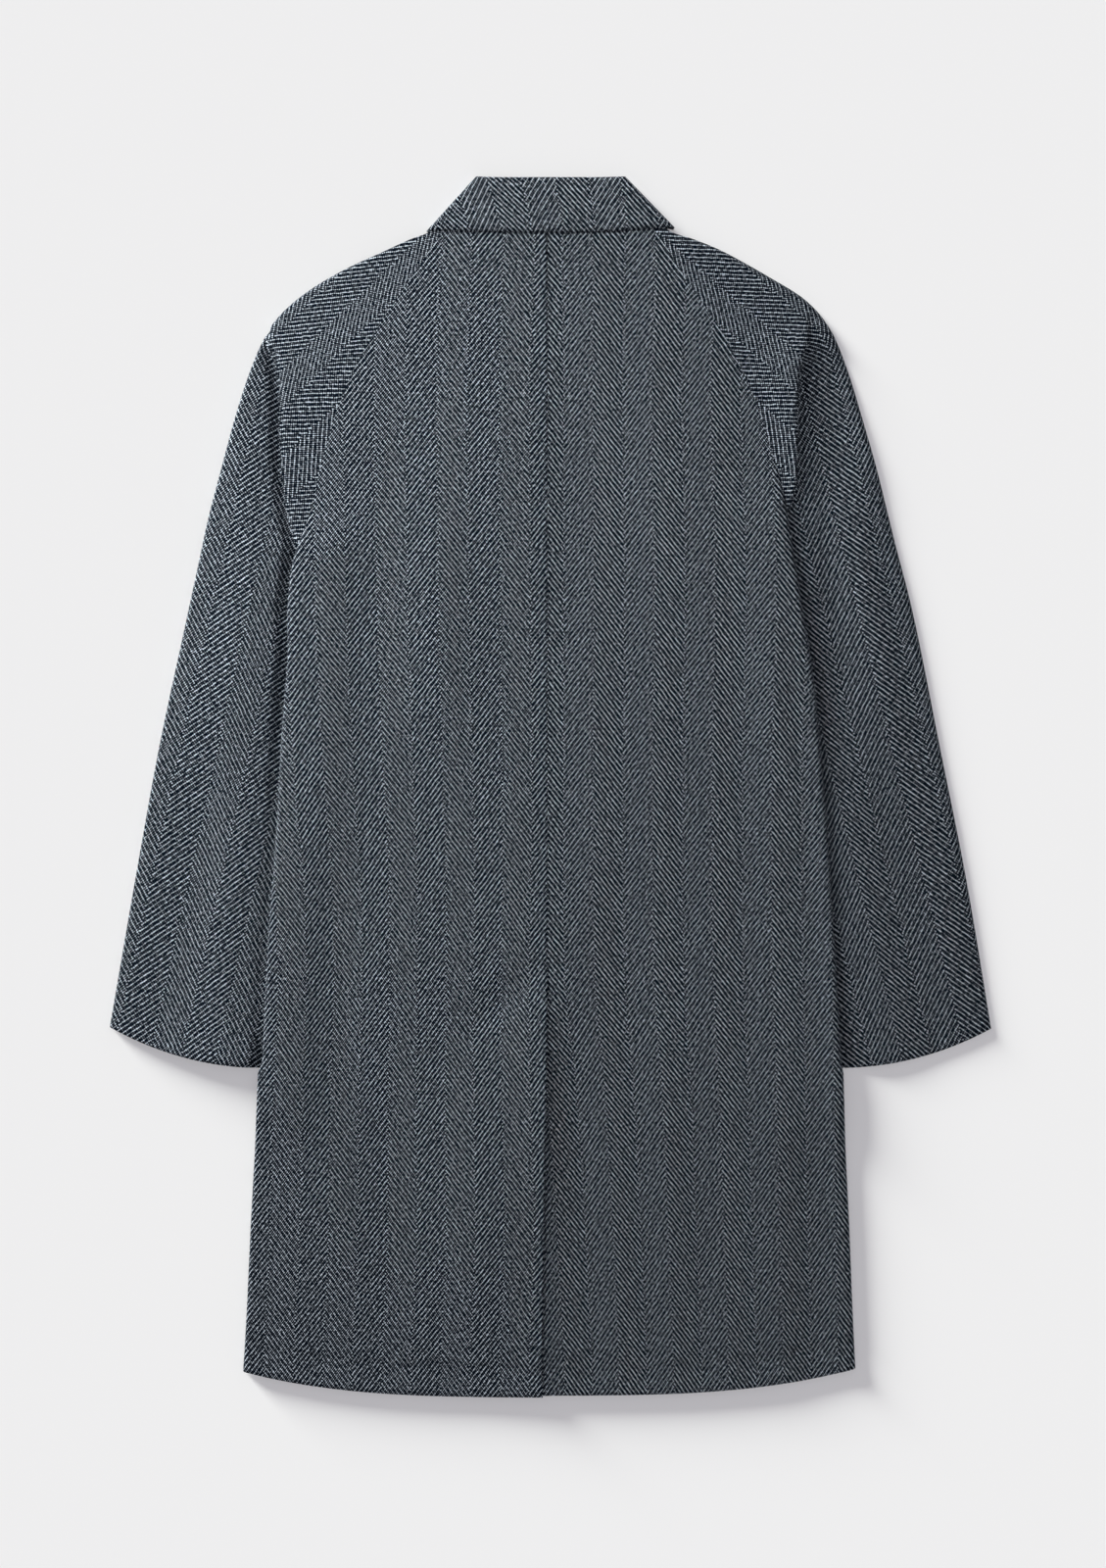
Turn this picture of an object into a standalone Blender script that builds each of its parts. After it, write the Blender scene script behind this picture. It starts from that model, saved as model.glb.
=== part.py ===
"""Raglan overcoat laid flat with its back up: ten cut pieces of wool cloth lying on each other."""

import math
from typing import NamedTuple

import bmesh
import bpy

# Sizes in millimetres; the frame has +Y toward the collar, +X to the wearer's right, +Z up
MM = 0.001
CLOTH = 2.8             # wall of every piece
GAP = 0.5               # clearance between two layers that lie on each other
SEAM = 0.3              # clearance between two pieces at a seam
LAYER = CLOTH + GAP     # rise from one layer to the next
STACK = 2.0 * LAYER     # height of a flattened sleeve, or of the two fronts where they lap
ROLL = 6.0              # outer radius of a rolled side
FLOOR_CLEAR = 0.9       # a rolled side ends this far above what lies below it
UNDER_INSET = 7.0       # a lower layer stays this far inside a rolled side
ROLL_CELLS = 4

# Rows of the grids, shared so that pieces meet point to point along a seam
NECK_SEAM_Y = 511.0
ARM_ROW_Y = 190.0
CUFF_SEAT_Y = -252.0
RAGLAN_ROWS = 18
SLEEVE_ROWS = 11
SKIRT_ROWS = 7
BODY_ROWS = RAGLAN_ROWS + SLEEVE_ROWS + SKIRT_ROWS

# Back and vent
CENTRE_BACK_X = -2.6
VENT_HEM_SHIFT = -4.4   # the vent's edge drifts this far to the left at the hem
VENT_LIFT = (-150.0, -215.0)    # the over-lap rises between these heights
VENT_OPEN = (-230.0, -270.0)    # the under-lap grows to its full width between these
VENT_LAP = 38.0
HEM_Y = {"left": -548.0, "right": -546.6}
HEM_RISE = {"left": 22.8, "right": 24.0}     # the hem curves up this much at the side
HEM_POWER = 3.1
HEM_HALF = 272.0       # half the hem's width, over which it curves
SIDE_SPREAD = (80.0, 28.0)      # a side rises or falls to its own level over this distance from the edge
ARMPIT_RUN = 60.0               # the raglan seam dives into the armpit over this height

# Fronts
FRONT_LAP = 38.0
LAP_RISE = (98.0, 63.0)          # the right front climbs onto the left one between these
FRONT_NECK_Y = 432.0
FRONT_HEM_SHORT = 4.0
FRONT_FIRST_ROW = 1

# Sleeves
CUFF_BULGE = 11.0
SLEEVE_LOFT = 2.3
LOFT_RUN = 45.0
FOLD_HALF = 6.0                 # half the width of the sleeve fold's step
FOLD_FADE = (345.0, 398.0)      # the fold dies out toward the shoulder between these heights
TIP_FLAT = (496.0, 466.0)       # the sleeve's neck end stays flat, and rolls fully below this
SLEEVE_FIRST_ROW = 2            # a sleeve's front starts this many rows below the neck
SLEEVE_FRONT_SHORT = 3.0

# Collar
COLLAR_TOP_Y = 548.0
COLLAR_TOP_HALF = 67.5
COLLAR_LOW_Y = 499.6
COLLAR_LOW_HALF = 111.4
COLLAR_SAG = 1.6                # the lower edge dips by this in the middle
COLLAR_ROLL = 4.4               # radius of the rounded top edge
COLLAR_ROLL_ROWS = 4
COLLAR_LEAF_STEPS = 4
COLLAR_FOLD_STEPS = 7
COLLAR_BACK_STEPS = 14
COLLAR_CELLS = (COLLAR_BACK_STEPS + 2 * (COLLAR_FOLD_STEPS + COLLAR_LEAF_STEPS), 9)
LEAF_LENGTH = 60.0
STAND_INSET = 9.6
STAND_CLEAR = 3.0
STAND_CELLS = (14, 3)
NECK_PILE_OUT = 84.0            # centre and radii of the rise over a collar leaf
NECK_PILE_Y = 495.0
NECK_PILE_RUN = (120.0, 72.0)
NECK_PILE_FROM = (40.0, 70.0)

SIDE_SIGN = {"left": -1.0, "right": 1.0}
ARMPIT_Y = {"left": 202.0, "right": 238.0}


class EdgeRow(NamedTuple):
    """Distance of the back's cut edge from the middle: raglan seam above the armpit, side below it."""

    y: float
    left: float
    right: float


class FoldRow(NamedTuple):
    """Distance of the sleeve's armpit fold from the middle."""

    y: float
    left: float
    right: float


class Station(NamedTuple):
    """One section across a sleeve: where it leaves the back's edge, how far it tucks under, its outer end."""

    seat_y: float
    tuck: float
    out: float
    y: float


EDGE = (
    EdgeRow(-532.0, 277.0, 274.8),
    EdgeRow(-472.0, 273.4, 271.9),
    EdgeRow(-393.0, 269.7, 268.8),
    EdgeRow(-305.0, 264.9, 264.6),
    EdgeRow(-226.0, 261.8, 262.2),
    EdgeRow(-146.0, 257.8, 257.8),
    EdgeRow(-33.0, 249.5, 250.5),
    EdgeRow(43.0, 245.5, 243.8),
    EdgeRow(91.0, 241.8, 239.3),
    EdgeRow(136.0, 238.2, 233.2),
    EdgeRow(178.0, 235.0, 224.7),
    EdgeRow(202.0, 231.6, 219.8),
    EdgeRow(228.0, 222.8, 215.5),
    EdgeRow(250.0, 215.4, 212.0),
    EdgeRow(276.0, 209.2, 206.8),
    EdgeRow(307.0, 201.6, 197.3),
    EdgeRow(342.0, 191.0, 185.9),
    EdgeRow(379.0, 174.6, 169.8),
    EdgeRow(419.0, 151.6, 148.0),
    EdgeRow(458.0, 125.2, 120.6),
    EdgeRow(491.5, 102.3, 100.8),
    EdgeRow(515.0, 86.2, 86.2),
)

FOLD = (
    FoldRow(190.0, 222.0, 206.0),
    FoldRow(202.0, 225.6, 206.0),
    FoldRow(226.0, 231.5, 206.0),
    FoldRow(238.0, 234.5, 207.8),
    FoldRow(250.0, 237.5, 214.0),
    FoldRow(262.0, 239.5, 218.5),
    FoldRow(285.0, 241.8, 221.2),
    FoldRow(320.0, 243.3, 221.8),
    FoldRow(355.0, 243.8, 222.2),
    FoldRow(383.0, 248.0, 226.0),
    FoldRow(400.0, 255.0, 232.0),
)

SLEEVE = {
    "left": (
        Station(-252.0, 20.0, 396.5, -215.5),
        Station(-117.0, 20.0, 374.0, -85.0),
        Station(8.0, 20.0, 352.0, 36.5),
        Station(108.0, 19.0, 330.9, 135.0),
        Station(172.0, 0.0, 316.0, 204.0),
        Station(202.0, 0.0, 308.5, 239.0),
        Station(249.0, 0.0, 296.5, 285.0),
        Station(291.0, 0.0, 282.0, 338.0),
        Station(322.0, 0.0, 268.4, 378.8),
        Station(348.0, 0.0, 251.7, 414.0),
        Station(379.0, 0.0, 227.9, 438.7),
        Station(419.0, 0.0, 191.0, 462.4),
        Station(458.0, 0.0, 148.7, 482.0),
        Station(478.0, 0.0, 126.0, 492.0),
        Station(497.0, 0.0, 104.0, 496.0),
        Station(511.0, 0.0, 94.5, 506.5),
    ),
    "right": (
        Station(-252.0, 20.0, 396.5, -217.0),
        Station(-111.0, 20.0, 374.5, -85.0),
        Station(12.0, 20.0, 350.0, 38.3),
        Station(130.0, 19.0, 325.0, 161.5),
        Station(205.0, 0.0, 309.5, 222.0),
        Station(238.0, 0.0, 301.0, 256.5),
        Station(267.0, 0.0, 294.0, 284.7),
        Station(301.0, 0.0, 281.0, 330.4),
        Station(329.0, 0.0, 267.5, 374.5),
        Station(355.0, 0.0, 252.6, 410.5),
        Station(388.0, 0.0, 232.0, 436.0),
        Station(424.0, 0.0, 195.4, 459.8),
        Station(458.0, 0.0, 149.6, 483.8),
        Station(478.0, 0.0, 127.0, 492.6),
        Station(497.0, 0.0, 104.0, 496.0),
        Station(511.0, 0.0, 94.5, 506.5),
    ),
}


def ease(start, end, at):
    """Soft step from 0 at start to 1 at end; start may be the larger."""
    part = min(max((at - start) / (end - start), 0.0), 1.0)
    return part * part * (3.0 - 2.0 * part)


def slope(keys, values, index):
    """Slope of the smooth curve at one row, chosen so that it never overshoots the rows."""
    last = len(keys) - 1
    if index in (0, last):
        upper = min(index + 1, last)
        return (values[upper] - values[upper - 1]) / (keys[upper] - keys[upper - 1])
    before = (values[index] - values[index - 1]) / (keys[index] - keys[index - 1])
    after = (values[index + 1] - values[index]) / (keys[index + 1] - keys[index])
    if before * after <= 0.0:
        return 0.0
    return 2.0 * before * after / (before + after)


def through(rows, key, column, at):
    """Value of a column on the smooth curve through a table, at a value of its key column."""
    keys = [getattr(row, key) for row in rows]
    values = [getattr(row, column) for row in rows]
    at = min(max(at, keys[0]), keys[-1])
    index = 0
    while index < len(keys) - 2 and at > keys[index + 1]:
        index += 1
    run = keys[index + 1] - keys[index]
    part = (at - keys[index]) / run
    rise = part * part * (3.0 - 2.0 * part)
    leave = slope(keys, values, index) * run * part * (1.0 - part) ** 2
    arrive = slope(keys, values, index + 1) * run * part * part * (part - 1.0)
    return values[index] + (values[index + 1] - values[index]) * rise + leave + arrive


def edge_out(side, y):
    """Distance of the back's edge from the middle."""
    return through(EDGE, "y", side, y)


def row_y(side, row):
    """Height of a row of the grids at the back's edge, counted down from the neck."""
    hem = HEM_Y[side] + HEM_RISE[side]
    if row <= RAGLAN_ROWS:
        return NECK_SEAM_Y + (ARM_ROW_Y - NECK_SEAM_Y) * row / RAGLAN_ROWS
    row -= RAGLAN_ROWS
    if row <= SLEEVE_ROWS:
        return ARM_ROW_Y + (CUFF_SEAT_Y - ARM_ROW_Y) * row / SLEEVE_ROWS
    row -= SLEEVE_ROWS
    return CUFF_SEAT_Y + (hem - CUFF_SEAT_Y) * row / SKIRT_ROWS


def dive(side, y):
    """Share of the raglan seam's dive into the armpit: 0 on the shoulder, 1 from the armpit down."""
    return ease(ARMPIT_Y[side] + ARMPIT_RUN, ARMPIT_Y[side], y)


def over_sleeve(side, y, early):
    """Share by which the body's side is lifted by the sleeve below it; early lifts it sooner at both ends."""
    armpit = ARMPIT_Y[side] + early
    cuff = CUFF_SEAT_Y - early
    return ease(armpit + 40.0, armpit, y) * ease(cuff - 66.0, cuff - 12.0, y)


def neck_pile(out, y):
    """Rise of the pieces that lie on a collar leaf."""
    near = ease(*NECK_PILE_RUN, math.hypot(out - NECK_PILE_OUT, y - NECK_PILE_Y))
    return LAYER * near * ease(*NECK_PILE_FROM, out)


def rolled(level, low, from_edge, radius):
    """Height on a side that is rolled down from its level to a low edge."""
    part = 1.0 - min(from_edge / radius, 1.0)
    full = min((level - low) / radius, 1.0) ** 4
    soft = 1.0 - part * part
    return low + (level - low) * (soft + (math.sqrt(soft) - soft) * full)


def spread(step, cells, width, radius):
    """Distance from the outer edge of one grid step: close steps round the roll, even ones inside it."""
    if step <= ROLL_CELLS:
        return radius * (1.0 - math.cos(0.5 * math.pi * step / ROLL_CELLS))
    return radius + (width - radius) * (step - ROLL_CELLS) / (cells - ROLL_CELLS)


def back_top(side, out, y, from_edge):
    """Height of the back's upper face."""
    centre = STACK + CLOTH
    lift = STACK * over_sleeve(side, y, early=20.0)
    level_at_side = centre + (LAYER + CLOTH + lift - centre) * dive(side, y)
    level = centre + (level_at_side - centre) * ease(*SIDE_SPREAD, from_edge)
    low = level + (lift + FLOOR_CLEAR - level) * dive(side, y)
    height = rolled(level, low, from_edge, ROLL)
    if side == "left":
        height += LAYER * ease(*VENT_LIFT, y) * ease(70.0, 42.0, out + CENTRE_BACK_X)
    return height


def back_point(side, cells):
    """Function that places a point of one half of the back on its grid."""
    sign = SIDE_SIGN[side]
    hem_edge = HEM_Y[side] + HEM_RISE[side]

    def place(step, row):
        share = (row_y(side, row) - hem_edge) / (NECK_SEAM_Y - hem_edge)
        across = 1.0 - spread(step, cells, HEM_HALF, ROLL) / HEM_HALF
        hem = HEM_Y[side] + HEM_RISE[side] * across ** HEM_POWER
        y = hem + (NECK_SEAM_Y - hem) * share
        drift = VENT_HEM_SHIFT * ease(VENT_LIFT[0], HEM_Y["left"], y)
        inner = sign * (CENTRE_BACK_X + drift) + 0.5 * SEAM
        if side == "right":
            inner -= VENT_LAP * ease(*VENT_OPEN, y)
        outer = edge_out(side, y) - 0.5 * SEAM
        from_edge = spread(step, cells, outer - inner, ROLL)
        out = outer - from_edge
        return sign * out, y, back_top(side, out, y, from_edge)

    return place


def front_point(side, cells):
    """Function that places a point of one front's lower face on its grid."""
    sign = SIDE_SIGN[side]
    hem_edge = HEM_Y[side] + HEM_RISE[side]
    shoulder = row_y(side, FRONT_FIRST_ROW)

    def place(step, row):
        across = 1.0 - step / cells
        share = (row_y(side, row + FRONT_FIRST_ROW) - hem_edge) / (shoulder - hem_edge)
        hem = HEM_Y[side] + FRONT_HEM_SHORT * (1.0 - share) + HEM_RISE[side] * across ** HEM_POWER
        neck = FRONT_NECK_Y + (shoulder - FRONT_NECK_Y) * across ** 4
        y = hem + (neck - hem) * share
        outer = edge_out(side, y) - 0.5 * SEAM - UNDER_INSET * ease(0.0, 0.6, dive(side, y))
        out = -FRONT_LAP + (outer + FRONT_LAP) * across
        lift = STACK * over_sleeve(side, y, early=0.0) * ease(70.0, 24.0, edge_out(side, y) - out)
        height = lift + neck_pile(out, y)
        if side == "right":
            height = max(height, LAYER * ease(*LAP_RISE, out))
        return sign * out, y, height

    return place


def sleeve_section(side, seat_y):
    """Inner and outer plan points of the section that leaves the back's edge at a height, as (out, y) pairs."""
    tuck = through(SLEEVE[side], "seat_y", "tuck", seat_y)
    inner = (edge_out(side, seat_y) + 0.5 * SEAM - tuck, seat_y)
    outer = (through(SLEEVE[side], "seat_y", "out", seat_y), through(SLEEVE[side], "seat_y", "y", seat_y))
    return inner, outer


def sleeve_plan(side, share, seat_y):
    """Plan point a share of the way from a sleeve's inner edge to its outer one."""
    inner, outer = sleeve_section(side, seat_y)
    bulge = CUFF_BULGE * 4.0 * share * (1.0 - share) * ease(-40.0, CUFF_SEAT_Y, seat_y)
    out = inner[0] + (outer[0] - inner[0]) * share + 0.2 * bulge
    y = inner[1] + (outer[1] - inner[1]) * share - 0.98 * bulge
    return out, y


def sleeve_top(side, out, y, from_outer, seat_y):
    """Height of a sleeve's upper face."""
    cap = STACK + CLOTH
    if seat_y > ARMPIT_Y[side]:
        beyond = out - through(FOLD, "y", side, y)
        capped = max(ease(FOLD_HALF, -FOLD_HALF, beyond), ease(*FOLD_FADE, y))
    else:
        beyond = out - edge_out(side, y) + FOLD_HALF
        capped = 0.0
    arm = LAYER + CLOTH + SLEEVE_LOFT * ease(FOLD_HALF, FOLD_HALF + LOFT_RUN, beyond)
    level = arm + (cap - arm) * capped
    low = FLOOR_CLEAR + neck_pile(out, y)
    low = level + (low - level) * ease(*TIP_FLAT, y)
    return rolled(level, low, from_outer, ROLL)


def sleeve_back_point(side, cells):
    """Function that places a point of a sleeve's back on its grid."""
    sign = SIDE_SIGN[side]

    def place(step, row):
        seat_y = row_y(side, row)
        inner, outer = sleeve_section(side, seat_y)
        width = math.hypot(outer[0] - inner[0], outer[1] - inner[1])
        from_outer = spread(step, cells, width, min(ROLL, 0.4 * width))
        out, y = sleeve_plan(side, 1.0 - from_outer / width, seat_y)
        return sign * out, y, sleeve_top(side, out, y, from_outer, seat_y)

    return place


def sleeve_front_point(side, cells):
    """Function that places a point of a sleeve front's lower face on its grid."""
    sign = SIDE_SIGN[side]

    def place(step, row):
        seat_y = row_y(side, row + SLEEVE_FIRST_ROW)
        inner, outer = sleeve_section(side, seat_y)
        width = math.hypot(outer[0] - inner[0], outer[1] - inner[1])
        out, y = sleeve_plan(side, (1.0 - step / cells) * (1.0 - UNDER_INSET / width), seat_y)
        y += SLEEVE_FRONT_SHORT * ease(-200.0, CUFF_SEAT_Y, seat_y)
        return sign * out, y, neck_pile(out, y)

    return place


def collar_section(row):
    """Slide from the collar's top edge and depth below its outer face, at one row of its grid."""
    if row < COLLAR_ROLL_ROWS:
        angle = 0.5 * math.pi * (1.0 - row / COLLAR_ROLL_ROWS)
        return COLLAR_ROLL * (1.0 - math.sin(angle)), COLLAR_ROLL * (1.0 - math.cos(angle))
    part = (row - COLLAR_ROLL_ROWS) / (COLLAR_CELLS[1] - COLLAR_ROLL_ROWS)
    return COLLAR_ROLL + (COLLAR_TOP_Y - COLLAR_LOW_Y - COLLAR_ROLL) * part, 0.0


def collar_point(step, row):
    """Place a point of the collar's outer face: leaf, side fold, back, side fold and leaf in turn."""
    top = STACK + CLOTH + LAYER
    turn = 0.5 * top
    slide, depth = collar_section(row)
    reach = abs(step - 0.5 * COLLAR_CELLS[0])
    sign = 1.0 if step < 0.5 * COLLAR_CELLS[0] else -1.0
    run = (COLLAR_LOW_HALF - COLLAR_TOP_HALF, COLLAR_TOP_Y - COLLAR_LOW_Y)
    length = math.hypot(*run)
    stretch = length / run[1]
    axis_out = COLLAR_TOP_HALF + run[0] * slide / run[1] - turn * stretch
    y = COLLAR_TOP_Y - slide
    half_back = 0.5 * COLLAR_BACK_STEPS
    depth *= ease(half_back + 2.0, half_back - 2.0, reach)
    if reach <= half_back:
        share = reach / half_back
        sag = COLLAR_SAG * (1.0 - share * share) * slide / run[1]
        return sign * axis_out * share, y - sag, top - depth
    if reach <= half_back + COLLAR_FOLD_STEPS:
        angle = math.pi * (reach - half_back) / COLLAR_FOLD_STEPS
        out = axis_out + (turn - depth) * stretch * math.sin(angle)
        return sign * out, y, turn + (turn - depth) * math.cos(angle)
    distance = LEAF_LENGTH * (reach - half_back - COLLAR_FOLD_STEPS) / COLLAR_LEAF_STEPS
    heading = (2.0 * run[0] * run[0] / length ** 2 - 1.0, -2.0 * run[0] * run[1] / length ** 2)
    return sign * (axis_out + heading[0] * distance), y + heading[1] * distance, depth


def stand_point(step, row):
    """Place a point of the collar stand's upper face, level with the back's."""
    low = NECK_SEAM_Y + SEAM
    high = COLLAR_TOP_Y - COLLAR_ROLL - STAND_CLEAR
    y = high + (low - high) * row / STAND_CELLS[1]
    run = (COLLAR_TOP_Y - y) / (COLLAR_TOP_Y - COLLAR_LOW_Y)
    half = COLLAR_TOP_HALF + (COLLAR_LOW_HALF - COLLAR_TOP_HALF) * run - STAND_INSET
    return half * (1.0 - 2.0 * step / STAND_CELLS[0]), y, STACK + CLOTH


def cloth_material(name, colour):
    """Plain wool finish for one piece."""
    material = bpy.data.materials.new(name)
    material.use_nodes = True
    surface = material.node_tree.nodes["Principled BSDF"]
    surface.inputs["Base Color"].default_value = (*colour, 1.0)
    surface.inputs["Roughness"].default_value = 0.95
    material.diffuse_color = (*colour, 1.0)
    return material


def cloth_piece(name, cells, place, colour, upward=False):
    """Grid moved onto one face of a piece, then thickened to the cloth's wall."""
    mesh = bpy.data.meshes.new(name)
    grid = bmesh.new()
    bmesh.ops.create_grid(grid, x_segments=cells[0], y_segments=cells[1], size=0.5)
    for vert in grid.verts:
        step = round((0.5 - vert.co.x) * cells[0])
        row = round((0.5 - vert.co.y) * cells[1])
        vert.co = [MM * value for value in place(step, row)]
    grid.normal_update()
    facing = sum(face.normal.z * face.calc_area() for face in grid.faces)
    if facing < 0.0:
        bmesh.ops.reverse_faces(grid, faces=grid.faces)
    for face in grid.faces:
        face.smooth = True
    grid.to_mesh(mesh)
    grid.free()
    mesh.materials.append(cloth_material(name + "_wool", colour))
    piece = bpy.data.objects.new(name, mesh)
    wall = piece.modifiers.new("wall", "SOLIDIFY")
    wall.thickness = CLOTH * MM
    wall.offset = 1.0 if upward else -1.0
    wall.use_even_offset = True
    return piece


def main():
    """Clear the scene and lay out the ten pieces of the coat under one empty."""
    for old in list(bpy.data.objects):
        bpy.data.objects.remove(old)
    coat = bpy.data.collections.new("raglan_overcoat")
    bpy.context.scene.collection.children.link(coat)
    root = bpy.data.objects.new("coat_frame", None)
    coat.objects.link(root)

    back_cells = (20, BODY_ROWS)
    front_cells = (13, BODY_ROWS - FRONT_FIRST_ROW)
    sleeve_cells = (13, RAGLAN_ROWS + SLEEVE_ROWS)
    under_cells = (6, RAGLAN_ROWS + SLEEVE_ROWS - SLEEVE_FIRST_ROW)
    pieces = []
    for side, shade in (("left", 1.0), ("right", 0.9)):
        body = (0.075 * shade, 0.085 * shade, 0.105 * shade)
        arm = (0.062 * shade, 0.072 * shade, 0.09 * shade)
        under = (0.05 * shade, 0.056 * shade, 0.07 * shade)
        back = back_point(side, back_cells[0])
        front = front_point(side, front_cells[0])
        sleeve_back = sleeve_back_point(side, sleeve_cells[0])
        sleeve_front = sleeve_front_point(side, under_cells[0])
        pieces.append(cloth_piece(f"back_{side}", back_cells, back, body))
        pieces.append(cloth_piece(f"front_{side}", front_cells, front, under, upward=True))
        pieces.append(cloth_piece(f"sleeve_back_{side}", sleeve_cells, sleeve_back, arm))
        pieces.append(cloth_piece(f"sleeve_front_{side}", under_cells, sleeve_front, under, upward=True))
    pieces.append(cloth_piece("collar_fall", COLLAR_CELLS, collar_point, (0.085, 0.095, 0.115)))
    pieces.append(cloth_piece("collar_stand", STAND_CELLS, stand_point, (0.05, 0.056, 0.07)))
    for piece in pieces:
        piece.parent = root
        coat.objects.link(piece)


main()
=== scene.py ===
"""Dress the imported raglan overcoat: herringbone wool shells laid on its solids, seen from straight above."""

import logging
import math
from bisect import bisect_right
from collections.abc import Mapping, Sequence
from dataclasses import dataclass
from enum import Enum
from typing import ClassVar, NamedTuple

import bmesh
import bpy
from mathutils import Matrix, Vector

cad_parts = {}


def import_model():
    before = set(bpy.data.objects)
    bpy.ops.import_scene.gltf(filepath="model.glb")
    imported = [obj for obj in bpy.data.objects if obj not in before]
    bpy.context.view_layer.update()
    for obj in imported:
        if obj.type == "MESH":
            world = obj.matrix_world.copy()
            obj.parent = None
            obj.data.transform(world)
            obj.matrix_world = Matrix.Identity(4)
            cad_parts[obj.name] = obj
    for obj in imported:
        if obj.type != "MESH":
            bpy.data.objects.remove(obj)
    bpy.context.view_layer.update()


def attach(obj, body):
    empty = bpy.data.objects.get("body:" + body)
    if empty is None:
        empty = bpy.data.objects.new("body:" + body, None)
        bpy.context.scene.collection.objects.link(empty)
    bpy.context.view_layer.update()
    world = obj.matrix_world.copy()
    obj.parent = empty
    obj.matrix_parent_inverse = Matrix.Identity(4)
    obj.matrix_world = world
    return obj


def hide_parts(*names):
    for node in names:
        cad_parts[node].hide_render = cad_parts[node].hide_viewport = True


LOG = logging.getLogger("raglan_overcoat")

MM = 0.001                      # lengths are millimetres until a point goes into a mesh
TAU = 2.0 * math.pi
BODY = "root"
SLOT = "herringbone_wool"
SLIVER = 0.15                   # width of a grid's last column, which keeps the rim's shading off the face
CREASE_REACH = 2.5              # widths from a crease's line past which it is flat


class Side(Enum):
    """The wearer's two sides, each with the sign of its x."""

    LEFT = -1.0
    RIGHT = 1.0

    @property
    def word(self) -> str:
        """Name of the side as the solids' names have it."""
        return self.name.lower()


class Facing(Enum):
    """Which way a piece's outer face lies; the value puts its wall below or above that face."""

    UP = -1.0
    DOWN = 1.0


class LampKind(Enum):
    """The two kinds of light, with Blender's names for them."""

    SUN = "SUN"
    PANEL = "AREA"


class SideRow(NamedTuple):
    """Distance of a line from the middle at one height, on each side of the coat."""

    y: float
    left: float
    right: float


class Station(NamedTuple):
    """One section across a sleeve: where it leaves the back's edge, how far it tucks under, its outer end."""

    seat_y: float
    tuck: float
    out: float
    y: float


class StripeRow(NamedTuple):
    """The back's stripes at one height: distance of the first turn from the middle, and width of a stripe."""

    y: float
    left_first: float
    left_width: float
    right_first: float
    right_width: float


class Spot(NamedTuple):
    """A point of a piece's outer face, with the length of cloth that its rolled edge hides from above."""

    x: float
    y: float
    z: float
    hidden: float = 0.0


class Crease(NamedTuple):
    """A soft ridge, or a trough where its height is negative, along a straight line."""

    x_start: float
    y_start: float
    x_end: float
    y_end: float
    height: float
    width: float

    def lift(self, x: float, y: float) -> float:
        """Rise of the cloth at a place.

        Args:
            x: Place across the coat.
            y: Place along the coat.

        Returns:
            The crease's height there, fading to nothing at its ends and sides.
        """
        run_x = self.x_end - self.x_start
        run_y = self.y_end - self.y_start
        length = math.hypot(run_x, run_y)
        along = ((x - self.x_start) * run_x + (y - self.y_start) * run_y) / length
        aside = ((x - self.x_start) * run_y - (y - self.y_start) * run_x) / length
        if not 0.0 < along < length or abs(aside) > CREASE_REACH * self.width:
            return 0.0
        taper = math.sin(math.pi * along / length)
        return self.height * taper * math.exp(-((aside / self.width) ** 2))


# The back's cut edge: raglan seam above the armpit, side below it.
EDGE = (
    SideRow(-532.0, 277.0, 274.8),
    SideRow(-472.0, 273.4, 271.9),
    SideRow(-393.0, 269.7, 268.8),
    SideRow(-305.0, 264.9, 264.6),
    SideRow(-226.0, 261.8, 262.2),
    SideRow(-146.0, 257.8, 257.8),
    SideRow(-33.0, 249.5, 250.5),
    SideRow(43.0, 245.5, 243.8),
    SideRow(91.0, 241.8, 239.3),
    SideRow(136.0, 238.2, 233.2),
    SideRow(178.0, 235.0, 224.7),
    SideRow(202.0, 231.6, 219.8),
    SideRow(228.0, 222.8, 215.5),
    SideRow(250.0, 215.4, 212.0),
    SideRow(276.0, 209.2, 206.8),
    SideRow(307.0, 201.6, 197.3),
    SideRow(342.0, 191.0, 185.9),
    SideRow(379.0, 174.6, 169.8),
    SideRow(419.0, 151.6, 148.0),
    SideRow(458.0, 125.2, 120.6),
    SideRow(491.5, 102.3, 100.8),
    SideRow(515.0, 86.2, 86.2),
)

# The fold of the shoulder cap over the arm.
FOLD = (
    SideRow(190.0, 222.0, 206.0),
    SideRow(202.0, 225.6, 206.0),
    SideRow(226.0, 231.5, 206.0),
    SideRow(238.0, 234.5, 207.8),
    SideRow(250.0, 237.5, 214.0),
    SideRow(262.0, 239.5, 218.5),
    SideRow(285.0, 241.8, 221.2),
    SideRow(320.0, 243.3, 221.8),
    SideRow(355.0, 243.8, 222.2),
    SideRow(383.0, 248.0, 226.0),
    SideRow(400.0, 255.0, 232.0),
)

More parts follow.
